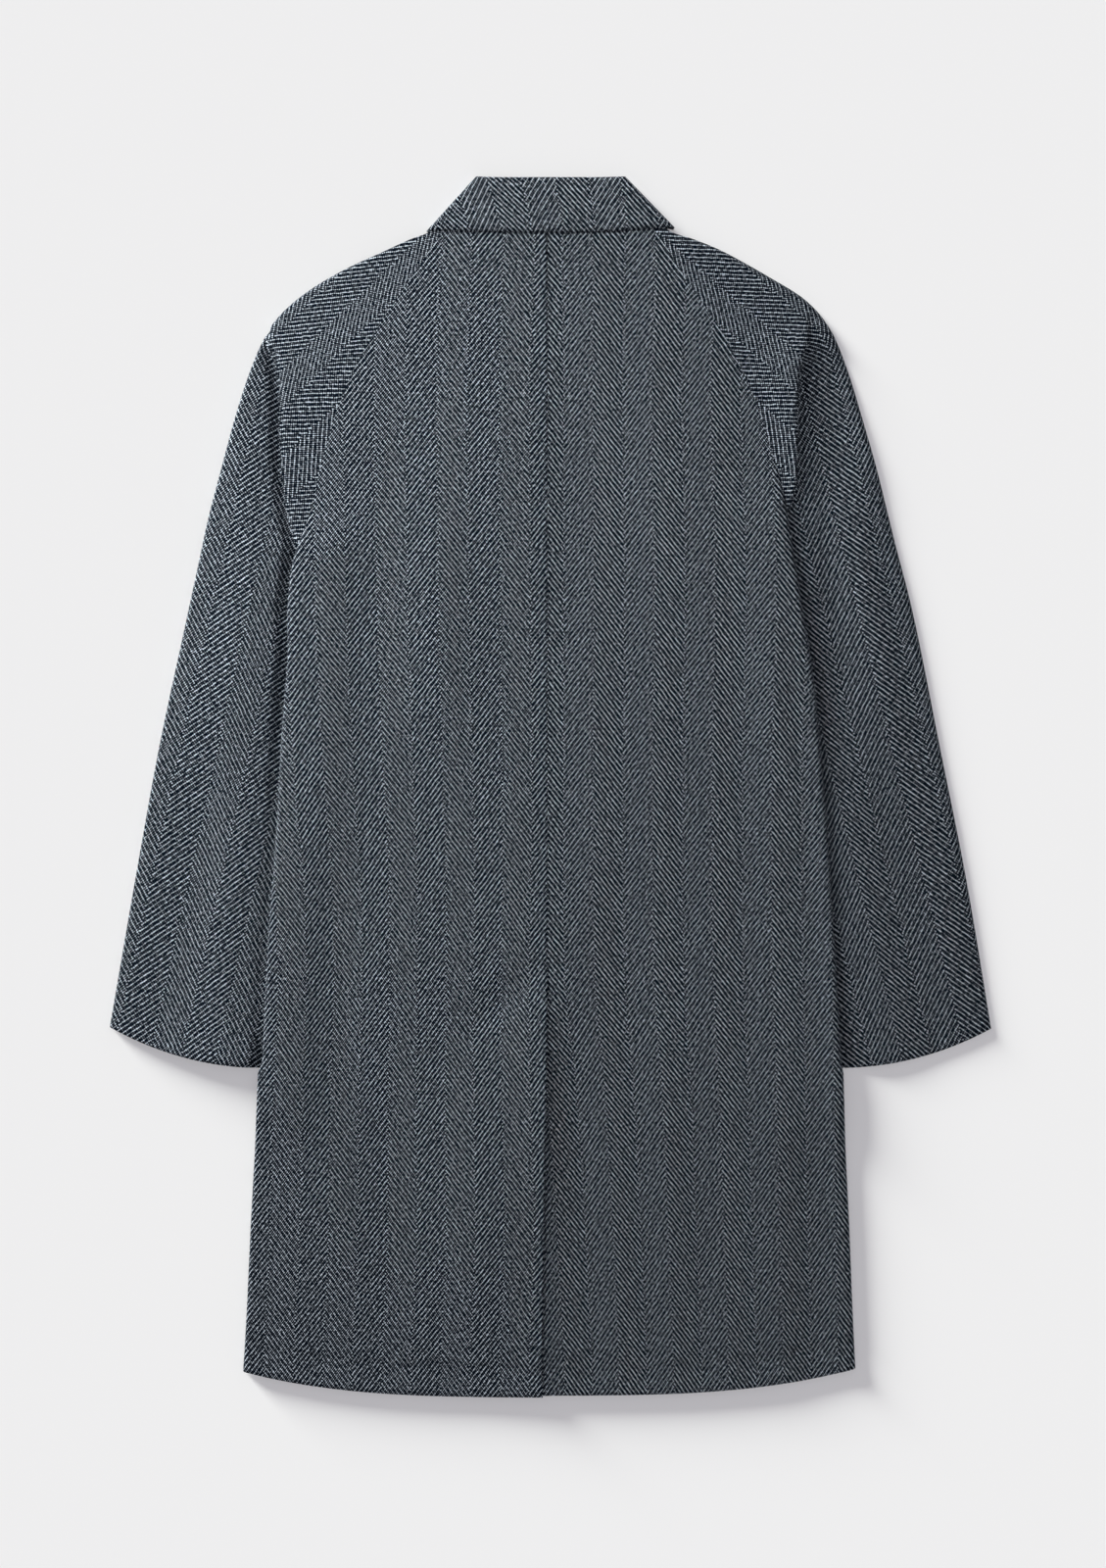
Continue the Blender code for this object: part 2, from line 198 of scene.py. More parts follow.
# Sections across the two sleeves, from the cuff up to the collar.
SLEEVE = {
    Side.LEFT: (
        Station(-252.0, 20.0, 396.5, -215.5),
        Station(-117.0, 20.0, 374.0, -85.0),
        Station(8.0, 20.0, 352.0, 36.5),
        Station(108.0, 19.0, 330.9, 135.0),
        Station(172.0, 0.0, 316.0, 204.0),
        Station(202.0, 0.0, 308.5, 239.0),
        Station(249.0, 0.0, 296.5, 285.0),
        Station(291.0, 0.0, 282.0, 338.0),
        Station(322.0, 0.0, 268.4, 378.8),
        Station(348.0, 0.0, 251.7, 414.0),
        Station(379.0, 0.0, 227.9, 438.7),
        Station(419.0, 0.0, 191.0, 462.4),
        Station(458.0, 0.0, 148.7, 482.0),
        Station(478.0, 0.0, 126.0, 492.0),
        Station(497.0, 0.0, 109.0, 498.4),
        Station(511.0, 0.0, 97.0, 507.0),
    ),
    Side.RIGHT: (
        Station(-252.0, 20.0, 396.5, -217.0),
        Station(-111.0, 20.0, 374.5, -85.0),
        Station(12.0, 20.0, 350.0, 38.3),
        Station(130.0, 19.0, 325.0, 161.5),
        Station(205.0, 0.0, 309.5, 222.0),
        Station(238.0, 0.0, 301.0, 256.5),
        Station(267.0, 0.0, 294.0, 284.7),
        Station(301.0, 0.0, 281.0, 330.4),
        Station(329.0, 0.0, 267.5, 374.5),
        Station(355.0, 0.0, 252.6, 410.5),
        Station(388.0, 0.0, 232.0, 436.0),
        Station(424.0, 0.0, 195.4, 459.8),
        Station(458.0, 0.0, 149.6, 483.8),
        Station(478.0, 0.0, 127.0, 492.6),
        Station(497.0, 0.0, 109.0, 498.4),
        Station(511.0, 0.0, 97.0, 507.0),
    ),
}

# Herringbone stripes of the back, from the hem up.
STRIPES = (
    StripeRow(-516.0, 19.4, 26.5, 37.0, 24.6),
    StripeRow(-393.0, 15.0, 26.3, 30.8, 25.0),
    StripeRow(-261.0, 18.5, 25.5, 22.0, 25.8),
    StripeRow(-173.0, 19.4, 25.0, 13.2, 26.6),
    StripeRow(-85.0, 17.6, 25.5, 11.4, 26.7),
    StripeRow(3.0, 16.7, 26.6, 11.4, 26.7),
    StripeRow(179.0, 17.6, 27.7, 11.4, 27.3),
    StripeRow(355.0, 18.5, 28.0, 11.4, 26.5),
    StripeRow(478.0, 14.1, 28.2, 9.7, 28.2),
)

# Soft creases, listed one by one.
BACK_CREASES = (
    Crease(10.0, -145.0, -92.0, -232.0, -1.5, 15.0),
    Crease(-4.0, -60.0, -6.0, -230.0, 0.9, 34.0),
    Crease(64.0, -70.0, 72.0, -300.0, -1.7, 34.0),
    Crease(-108.0, 270.0, -100.0, 10.0, 2.4, 34.0),
    Crease(-206.0, -30.0, -196.0, -330.0, -1.7, 24.0),
    Crease(-152.0, -230.0, -140.0, -510.0, -1.6, 27.0),
    Crease(-66.0, -210.0, -60.0, -530.0, 2.2, 34.0),
    Crease(142.0, -210.0, 158.0, -520.0, -1.6, 25.0),
    Crease(228.0, 90.0, 236.0, -340.0, -1.8, 28.0),
    Crease(-118.0, 410.0, -150.0, 230.0, -1.2, 26.0),
    Crease(30.0, 420.0, 40.0, 120.0, -1.4, 32.0),
    Crease(104.0, 340.0, 138.0, 110.0, 1.3, 27.0),
    Crease(0.0, 482.0, 160.0, 468.0, -1.1, 13.0),
)

SLEEVE_CREASES = (
    Crease(-272.0, 250.0, -322.0, 110.0, -1.0, 15.0),
    Crease(-292.0, 116.0, -330.0, -30.0, 0.8, 17.0),
    Crease(-302.0, 50.0, -334.0, -212.0, -1.6, 20.0),
    Crease(230.0, 246.0, 240.0, 166.0, 2.2, 12.0),
    Crease(262.0, 232.0, 312.0, 80.0, 1.0, 15.0),
    Crease(286.0, 40.0, 326.0, -150.0, -0.9, 16.0),
    Crease(340.0, 0.0, 366.0, -190.0, 0.8, 14.0),
)


def ease(start: float, end: float, at: float) -> float:
    """Soft step between two values.

    Args:
        start: Where the step is 0; it may be the larger.
        end: Where the step is 1.
        at: Where to read it.

    Returns:
        The step's height, from 0 to 1.
    """
    part = min(max((at - start) / (end - start), 0.0), 1.0)
    return part * part * (3.0 - 2.0 * part)


class Curve:
    """Smooth curve through the rows of a table that never overshoots them."""

    def __init__(self, keys: Sequence[float], values: Sequence[float], beyond: float = 1.0) -> None:
        """Work out the slope at every row.

        Args:
            keys: Rising key column.
            values: Column that the curve goes through.
            beyond: Share of its end slopes that the curve keeps outside the table.
        """
        self.beyond = beyond
        self.keys = tuple(keys)
        self.values = tuple(values)
        spans = range(len(self.keys) - 1)
        steps = [(self.values[i + 1] - self.values[i]) / (self.keys[i + 1] - self.keys[i]) for i in spans]
        inner = [2.0 * a * b / (a + b) if a * b > 0.0 else 0.0 for a, b in zip(steps, steps[1:])]
        self.slopes = (steps[0], *inner, steps[-1])

    def at(self, key: float) -> float:
        """Read the curve.

        Args:
            key: Value of the key column.

        Returns:
            The curve's value there.
        """
        if key < self.keys[0]:
            return self.values[0] + self.beyond * self.slopes[0] * (key - self.keys[0])
        if key > self.keys[-1]:
            return self.values[-1] + self.beyond * self.slopes[-1] * (key - self.keys[-1])
        low = min(bisect_right(self.keys, key), len(self.keys) - 1) - 1
        run = self.keys[low + 1] - self.keys[low]
        part = (key - self.keys[low]) / run
        rise = part * part * (3.0 - 2.0 * part)
        leave = self.slopes[low] * run * part * (1.0 - part) ** 2
        arrive = self.slopes[low + 1] * run * part * part * (part - 1.0)
        return self.values[low] + (self.values[low + 1] - self.values[low]) * rise + leave + arrive

    @classmethod
    def of(cls, rows: Sequence[NamedTuple], key: str, column: str) -> "Curve":
        """Make the curve of one named column over another.

        Args:
            rows: Table, with its key column rising.
            key: Name of the key column.
            column: Name of the column to go through.

        Returns:
            The curve.
        """
        return cls([getattr(row, key) for row in rows], [getattr(row, column) for row in rows], beyond=0.0)


@dataclass(frozen=True)
class CoatPlan:
    """Sizes that the pieces share, and how the layers of the laid coat rise over each other."""

    cloth: float = 2.8                  # a layer's thickness in the pile, with its seams and turnings
    wall: float = 1.6                   # the cloth's own thickness
    gap: float = 0.5
    seam: float = 0.03                  # gap between two pieces that are sewn edge to edge
    roll: float = 6.0                   # width of the close columns round a rolled side
    floor_clear: float = 1.7            # least height of an upper piece's outer face
    under_inset: float = 7.0            # how far the lower pieces stay inside the upper ones
    neck_seam_y: float = 511.0
    cuff_seat_y: float = -252.0         # where the cuff's section leaves the body's side
    armpit_left: float = 202.0
    armpit_right: float = 238.0
    armpit_run: float = 60.0            # height over which the raglan seam dives into the armpit
    armpit_lift: float = 40.0           # height over which the sleeve starts to lift the body's side
    cuff_lift: tuple[float, float] = (-66.0, -12.0)     # heights from the cuff between which that ends
    inset_left: float = 3.6             # how far the body's side draws in where it lies on the sleeve
    inset_right: float = 2.2
    inset_starts: tuple[float, float] = (-40.0, -90.0)  # heights from the armpit between which that starts
    inset_ends: tuple[float, float] = (-258.0, -244.0)
    hem_left: float = -548.0
    hem_right: float = -546.6
    hem_rise_left: float = 22.8
    hem_rise_right: float = 24.0
    hem_power: float = 3.1
    hem_half: float = 272.0             # half the hem's width
    leaf_out: float = 84.0              # middle of a collar leaf
    leaf_y: float = 495.0
    leaf_reach: tuple[float, float] = (120.0, 72.0)     # distances from it over which the pile rises
    leaf_inner: tuple[float, float] = (40.0, 70.0)
    edges: ClassVar[dict[Side, Curve]] = {side: Curve.of(EDGE, "y", side.word) for side in Side}

    @property
    def layer(self) -> float:
        """Rise from one layer of cloth to the next."""
        return self.cloth + self.gap

    @property
    def stack(self) -> float:
        """Height of a flattened sleeve, or of the two fronts where they lap."""
        return 2.0 * self.layer

    def armpit(self, side: Side) -> float:
        """Height of a side's armpit."""
        return self.armpit_left if side is Side.LEFT else self.armpit_right

    def hem(self, side: Side, across: float) -> float:
        """Height of the hem.

        Args:
            side: Side of the coat.
            across: Share of the way from the middle to the side.

        Returns:
            The hem's y there; it curves up toward the side.
        """
        low = self.hem_left if side is Side.LEFT else self.hem_right
        rise = self.hem_rise_left if side is Side.LEFT else self.hem_rise_right
        return low + rise * max(across, 0.0) ** self.hem_power

    def side_edge(self, side: Side, y: float) -> float:
        """Edge of the back as it lies, drawn in where the body lies on the sleeve.

        Args:
            side: Side of the coat.
            y: Height on the coat.

        Returns:
            The edge's distance from the middle.
        """
        inset = self.inset_left if side is Side.LEFT else self.inset_right
        drawn = ease(*self.inset_starts, y - self.armpit(side)) * ease(*self.inset_ends, y)
        return self.edges[side].at(y) - inset * drawn

    def dive(self, side: Side, y: float) -> float:
        """Share of the raglan seam's dive into the armpit: 0 on the shoulder, 1 from the armpit down."""
        return ease(self.armpit(side) + self.armpit_run, self.armpit(side), y)

    def over_sleeve(self, side: Side, y: float, early: float) -> float:
        """Share by which the sleeve lifts the body's side.

        Args:
            side: Side of the coat.
            y: Height on the coat.
            early: Distance by which the lift starts sooner at both ends.

        Returns:
            The share, from 0 to 1.
        """
        armpit = self.armpit(side) + early
        cuff = self.cuff_seat_y - early
        return ease(armpit + self.armpit_lift, armpit, y) * ease(*self.cuff_lift, y - cuff)

    def neck_pile(self, out: float, y: float) -> float:
        """Rise of a piece that lies on a collar leaf.

        Args:
            out: Distance from the middle.
            y: Height on the coat.

        Returns:
            The rise.
        """
        near = ease(*self.leaf_reach, math.hypot(out - self.leaf_out, y - self.leaf_y))
        return self.layer * near * ease(*self.leaf_inner, out)


def rolled_side(level: float, low: float, from_edge: float, radius: float, bend: float) -> float:
    """Height on a side that is rolled down.

    Args:
        level: Height of the cloth inside the roll.
        low: Height of its edge.
        from_edge: Distance from the edge.
        radius: Radius of the roll.
        bend: Power of the roll's section: 0.5 is round, less is squarer.

    Returns:
        The height of the outer face.
    """
    part = 1.0 - min(from_edge / radius, 1.0)
    full = min((level - low) / radius, 1.0) ** 4
    soft = 1.0 - part * part
    return low + (level - low) * (soft + (soft ** bend - soft) * full)


def hidden_length(from_edge: float, radius: float) -> float:
    """Length of cloth on a rolled side that shows from above as no length.

    Args:
        from_edge: Distance from the edge as seen from above.
        radius: Radius of the roll.

    Returns:
        The length round the roll less the length seen from above.
    """
    part = 1.0 - min(max(from_edge / radius, 0.0), 1.0)
    return radius * (math.asin(part) - part)


def close_steps(
    share: float, cells: int, close: int, width: float, radius: float, last: float = SLIVER
) -> float:
    """Spread a grid's columns: close ones round a rolled edge, even ones inside it and a narrow last one.

    Args:
        share: Share of the grid's columns, from the edge.
        cells: Number of columns.
        close: Number of columns that go round the roll.
        width: Width to cover.
        radius: Radius of the roll.
        last: Width of the last column.

    Returns:
        The distance from the edge.
    """
    step = share * cells
    if step <= close:
        return radius * (1.0 - math.cos(0.5 * math.pi * step / close))
    if round(step) == cells - 1:
        return width - last
    return radius + (width - radius) * (step - close) / (cells - close)


def rounded_drop(distance: float, run: float, drop: float) -> float:
    """Drop of a rounded edge's face below its level.

    Args:
        distance: Distance from the edge.
        run: Width of the rounding.
        drop: Drop at the edge.

    Returns:
        The drop there; nothing past the rounding.
    """
    part = 1.0 - min(max(distance / run, 0.0), 1.0)
    return drop * (1.0 - math.sqrt(max(1.0 - part * part, 0.0)))


class Value:
    """Number in a shader, wrapped so that arithmetic on it adds Math nodes."""

    def __init__(self, shader: "Shader", socket: bpy.types.NodeSocket) -> None:
        """Wrap a socket.

        Args:
            shader: Shader that the socket is in.
            socket: Output that gives the number.
        """
        self.shader = shader
        self.socket = socket

    def __add__(self, other: "Value | float") -> "Value":
        """Sum."""
        return self.shader.math("ADD", self, other)

    __radd__ = __add__

    def __mul__(self, other: "Value | float") -> "Value":
        """Product."""
        return self.shader.math("MULTIPLY", self, other)

    __rmul__ = __mul__

    def __sub__(self, other: "Value | float") -> "Value":
        """Difference."""
        return self.shader.math("SUBTRACT", self, other)

    def __rsub__(self, other: float) -> "Value":
        """Difference from a plain number."""
        return self.shader.math("SUBTRACT", other, self)

    def floor(self) -> "Value":
        """Whole number below."""
        return self.shader.math("FLOOR", self)

    def cosine(self) -> "Value":
        """Cosine of the number as an angle."""
        return self.shader.math("COSINE", self)

    def remainder(self, by: float) -> "Value":
        """Remainder, never negative."""
        return self.shader.math("FLOORED_MODULO", self, by)

    def power(self, by: float) -> "Value":
        """The number, or nought where it is less, raised to a power."""
        return self.shader.math("POWER", self.shader.math("MAXIMUM", self, 0.0), by)

    def smooth(self, low: float, high: float) -> "Value":
        """Soft step of the number.

        Args:
            low: Where the step starts.
            high: Where it ends.

        Returns:
            The step, from 0 to 1.
        """
        sockets = {"Value": self, "From Min": low, "From Max": high}
        made = self.shader.node("ShaderNodeMapRange", {"interpolation_type": "SMOOTHSTEP"}, sockets)
        return Value(self.shader, made.outputs["Result"])


class Shader:
    """Node tree of one material, in which one method adds every node."""

    def __init__(self, name: str) -> None:
        """Start a material that has only its surface.

        Args:
            name: Name of the material.
        """
        self.material = bpy.data.materials.new(name)
        self.material.use_nodes = True
        self.tree = self.material.node_tree
        self.surface = self.tree.nodes["Principled BSDF"]

    def node(
        self, kind: str, settings: Mapping[str, object], sockets: Mapping[str | int, object]
    ) -> bpy.types.ShaderNode:
        """Add one node.

        Args:
            kind: Blender's name for the node's type.
            settings: Settings of the node, set first.
            sockets: Values or links of its inputs, by name or number.

        Returns:
            The node.
        """
        made = self.tree.nodes.new(kind)
        for key, value in settings.items():
            setattr(made, key, value)
        for key, value in sockets.items():
            self.feed(made.inputs[key], value)
        return made

    def feed(self, socket: bpy.types.NodeSocket, value: object) -> None:
        """Give an input its value or its link.

        Args:
            socket: The input.
            value: A wrapped number, an output, or a plain value.
        """
        if isinstance(value, Value):
            value = value.socket
        if isinstance(value, bpy.types.NodeSocket):
            self.tree.links.new(value, socket)
        else:
            socket.default_value = value

    def set(self, sockets: Mapping[str, object]) -> None:
        """Give the surface's inputs their values or links.

        Args:
            sockets: Values or links by the inputs' names.
        """
        for key, value in sockets.items():
            self.feed(self.surface.inputs[key], value)

    def math(self, operation: str, *numbers: Value | float) -> Value:
        """Add a Math node.

        Args:
            operation: Name of the node's operation.
            numbers: The numbers that it takes.

        Returns:
            The node's result.
        """
        made = self.node("ShaderNodeMath", {"operation": operation}, dict(enumerate(numbers)))
        return Value(self, made.outputs[0])

    def noise(self, vector: bpy.types.NodeSocket, scale: float, detail: float) -> Value:
        """Add a cloud pattern.

        Args:
            vector: Where to read it.
            scale: Clouds to a unit.
            detail: Octaves of finer clouds.

        Returns:
            The pattern, about 0.5 on average.
        """
        made = self.node("ShaderNodeTexNoise", {}, {"Vector": vector, "Scale": scale, "Detail": detail})
        return Value(self, made.outputs[0])

    def blend(self, share: Value, first: object, second: object) -> bpy.types.NodeSocket:
        """Mix two colours.

        Args:
            share: Share of the second.
            first: Colour or output.
            second: Colour or output.

        Returns:
            The mixed colour.
        """
        made = self.node("ShaderNodeMix", {"data_type": "RGBA"}, {0: share, 6: first, 7: second})
        return made.outputs[2]


@dataclass(frozen=True)
class HerringboneWool:
    """Wool cloth of pale diagonals on a dark ground that turn at every stripe, with a soft napped face."""

    name: str = SLOT
    ground: tuple[float, float, float] = (0.0, 0.0036, 0.0100)
    yarn: tuple[float, float, float] = (0.795, 0.892, 0.985)
    lines_across: float = 6.2           # diagonals that cross one stripe's width
    lines_along: float = 4.79           # diagonals in one stripe's width along it
    turn_offset: float = 0.5            # shift of the diagonals at a turn, in their own spacing
    level: float = 0.245                # mean of the pattern, where 1 is the palest yarn
    line: float = 0.32                  # how far the diagonals swing about that mean
    core: float = 0.30                  # how far their thin middles do
    bead: float = 0.37                  # how far the crossings of the yarns do
    fleck: float = 1.35                 # how far single fibres do
    slub: float = 0.5                   # how far thick and thin places of the yarns do
    line_bias: float = 0.07             # how much more the diagonals of every second stripe do
    bead_bias: float = -0.2             # the same for its crossings
    level_bias: float = 0.018           # and for its mean
    waver: float = 0.5                  # how far the diagonals stray, in their own spacing
    waver_scale: float = 4.0            # places to a stripe's width where they do
    bead_waver: float = 0.25            # how far the crossings stray
    slub_scale: float = 7.0
    fleck_scale: float = 13.0
    curve: float = 2.8                  # power that turns the pattern into paleness
    cloud_scale: float = 1.7            # broad paler and darker places of the cloth
    cloud_dark: float = 0.88
    cloud_swing: float = 0.24
    cloud_ends: tuple[float, float] = (0.1, 0.9)
    relief: float = 0.00035             # metres that the face rises where its height is 1
    bump: float = 0.6
    line_height: float = 0.4
    slub_height: float = 0.5
    nap_height: float = 0.6
    nap_scale: float = 1.1
    roughness: float = 0.92
    specular: float = 0.02
    sheen: float = 0.05
    sheen_roughness: float = 0.5
    sheen_tint: tuple[float, float, float] = (0.82, 0.87, 0.95)

    def weave(self, shader: Shader, grain: bpy.types.NodeSocket) -> tuple[Value, Value]:
        """Work out the herringbone and its relief.

        Args:
            shader: Shader that they go into.
            grain: The piece's grain map, whose unit is one stripe's width.

        Returns:
            The share of pale yarn and the height of the cloth's face.
        """
        parts = shader.node("ShaderNodeSeparateXYZ", {}, {"Vector": grain})
        across = Value(shader, parts.outputs["X"])
        along = Value(shader, parts.outputs["Y"])
        stripe = across.floor()
        turn = stripe.remainder(2.0)
        lean = turn * 2.0 - 1.0
        inside = across - stripe - 0.5
        waver = (shader.noise(grain, self.waver_scale, detail=3.0) - 0.5) * self.waver
        slubs = shader.noise(grain, self.slub_scale, detail=0.0) - 0.5
        flecks = shader.noise(grain, self.fleck_scale, detail=0.0) - 0.5
        nap = shader.noise(grain, self.nap_scale, detail=2.0)

        row = along * self.lines_along
        slant = lean * inside * self.lines_across
        phase = (row + slant + turn * self.turn_offset + waver) * TAU
        crossing = (row * 2.0 - slant * 2.0 + slubs * self.bead_waver) * TAU
        crest = phase.cosine()
        lines = crest * (lean * self.line_bias + 1.0) * self.line + (phase * 2.0).cosine() * self.core
        beads = crossing.cosine() * (lean * self.bead_bias + 1.0) * self.bead
        spread = flecks * self.fleck + slubs * self.slub + lean * self.level_bias
        share = (lines + beads + spread + self.level).power(self.curve)
        return share, crest * self.line_height + slubs * self.slub_height + nap * self.nap_height

    def material(self) -> bpy.types.Material:
        """Make the cloth's material.

        Returns:
            The material.
        """
        shader = Shader(self.name)
        grain = shader.node("ShaderNodeUVMap", {"uv_map": "grain"}, {}).outputs["UV"]
        share, height = self.weave(shader, grain)
        cloth = shader.blend(share, (*self.ground, 1.0), (*self.yarn, 1.0))
        clouds = shader.noise(grain, self.cloud_scale, detail=3.0).smooth(*self.cloud_ends)
        tone = clouds * self.cloud_swing + self.cloud_dark
        colour = shader.node("ShaderNodeVectorMath", {"operation": "SCALE"}, {0: cloth, "Scale": tone})
        raised = {"Strength": self.bump, "Distance": self.relief, "Height": height}
        shader.set({
            "Base Color": colour.outputs[0],
            "Roughness": self.roughness,
            "Sheen Weight": self.sheen,
            "Sheen Roughness": self.sheen_roughness,
            "Sheen Tint": (*self.sheen_tint, 1.0),
            "Specular IOR Level": self.specular,
            "Normal": shader.node("ShaderNodeBump", {}, raised).outputs["Normal"],
        })
        return shader.material


@dataclass(frozen=True)
class Cut:
    """Flat size of a piece as it was cut, in metres, and its area where that isn't a rectangle."""

    width: float
    length: float
    area: float


@dataclass
class Piece:
    """One cut piece of the coat: a grid laid on its solid's outer face and thickened to the cloth's wall."""

    plan: CoatPlan
    node: str
    cut: Cut
    cells: tuple[int, int]
    rests_on: tuple[str, ...] = ()
    faces: Facing = Facing.UP
    stripe: float = 27.0                # width of one stripe of the weave

    def out(self, x: float) -> float:
        """Distance from the middle, toward the right."""
        return x

    def spot(self, across: float, along: float) -> Spot:
        """Place a point of the outer face.

        Args:
            across: Share of the grid's columns, from the outer edge.
            along: Share of its rows, from the neck.

        Returns:
            The point.
        """
        raise NotImplementedError

    def grain(self, spot: Spot, middle: Spot) -> tuple[float, float]:
        """Place a point in the cloth's weave.

        Args:
            spot: The point.
            middle: Middle of the face that it belongs to.

        Returns:
            Stripes across the weave and stripe widths along it; upright stripes, unless a piece says more.
        """
        return self.out(spot.x) / self.stripe, spot.y / self.stripe

    def mesh(self, name: str) -> bpy.types.Mesh:
        """Lay the grid on the outer face, turned up, with its place in the weave.

        Args:
            name: Name of the mesh.

        Returns:
            The mesh.
        """
        grid = bmesh.new()
        bmesh.ops.create_grid(grid, x_segments=self.cells[0], y_segments=self.cells[1], size=0.5)
        spots = [self.spot(0.5 - vert.co.x, 0.5 - vert.co.y) for vert in grid.verts]
        for vert, spot in zip(grid.verts, spots):
            vert.co = Vector(spot[:3]) * MM
        grid.verts.index_update()
        grain = grid.loops.layers.uv.new("grain")
        for face in grid.faces:
            face.smooth = True
            middle = Spot(*(face.calc_center_median() / MM))
            for loop in face.loops:
                loop[grain].uv = self.grain(spots[loop.vert.index], middle)
        grid.normal_update()
        if sum(face.normal.z * face.calc_area() for face in grid.faces) < 0.0:
            bmesh.ops.reverse_faces(grid, faces=grid.faces)
        mesh = bpy.data.meshes.new(name)
        grid.to_mesh(mesh)
        grid.free()
        return mesh

    def build(self, wool: bpy.types.Material) -> bpy.types.Object:
        """Args:
            wool: Material of the cloth.

        Returns:
            The piece's object.
        """
        name = f"{self.node}_cloth"
        mesh = self.mesh(name)
        mesh.materials.append(wool)
        piece = bpy.data.objects.new(name, mesh)
        bpy.context.scene.collection.objects.link(piece)
        wall = piece.modifiers.new("wall", "SOLIDIFY")
        wall.thickness = self.plan.wall * MM
        wall.offset = self.faces.value
        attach(piece, BODY)
        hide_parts(self.node)
        return piece


@dataclass
class SidePiece(Piece):
    """A piece that belongs to one side of the coat."""

    side: Side = Side.LEFT

    def out(self, x: float) -> float:
        """Distance from the middle, toward the piece's side."""
        return self.side.value * x


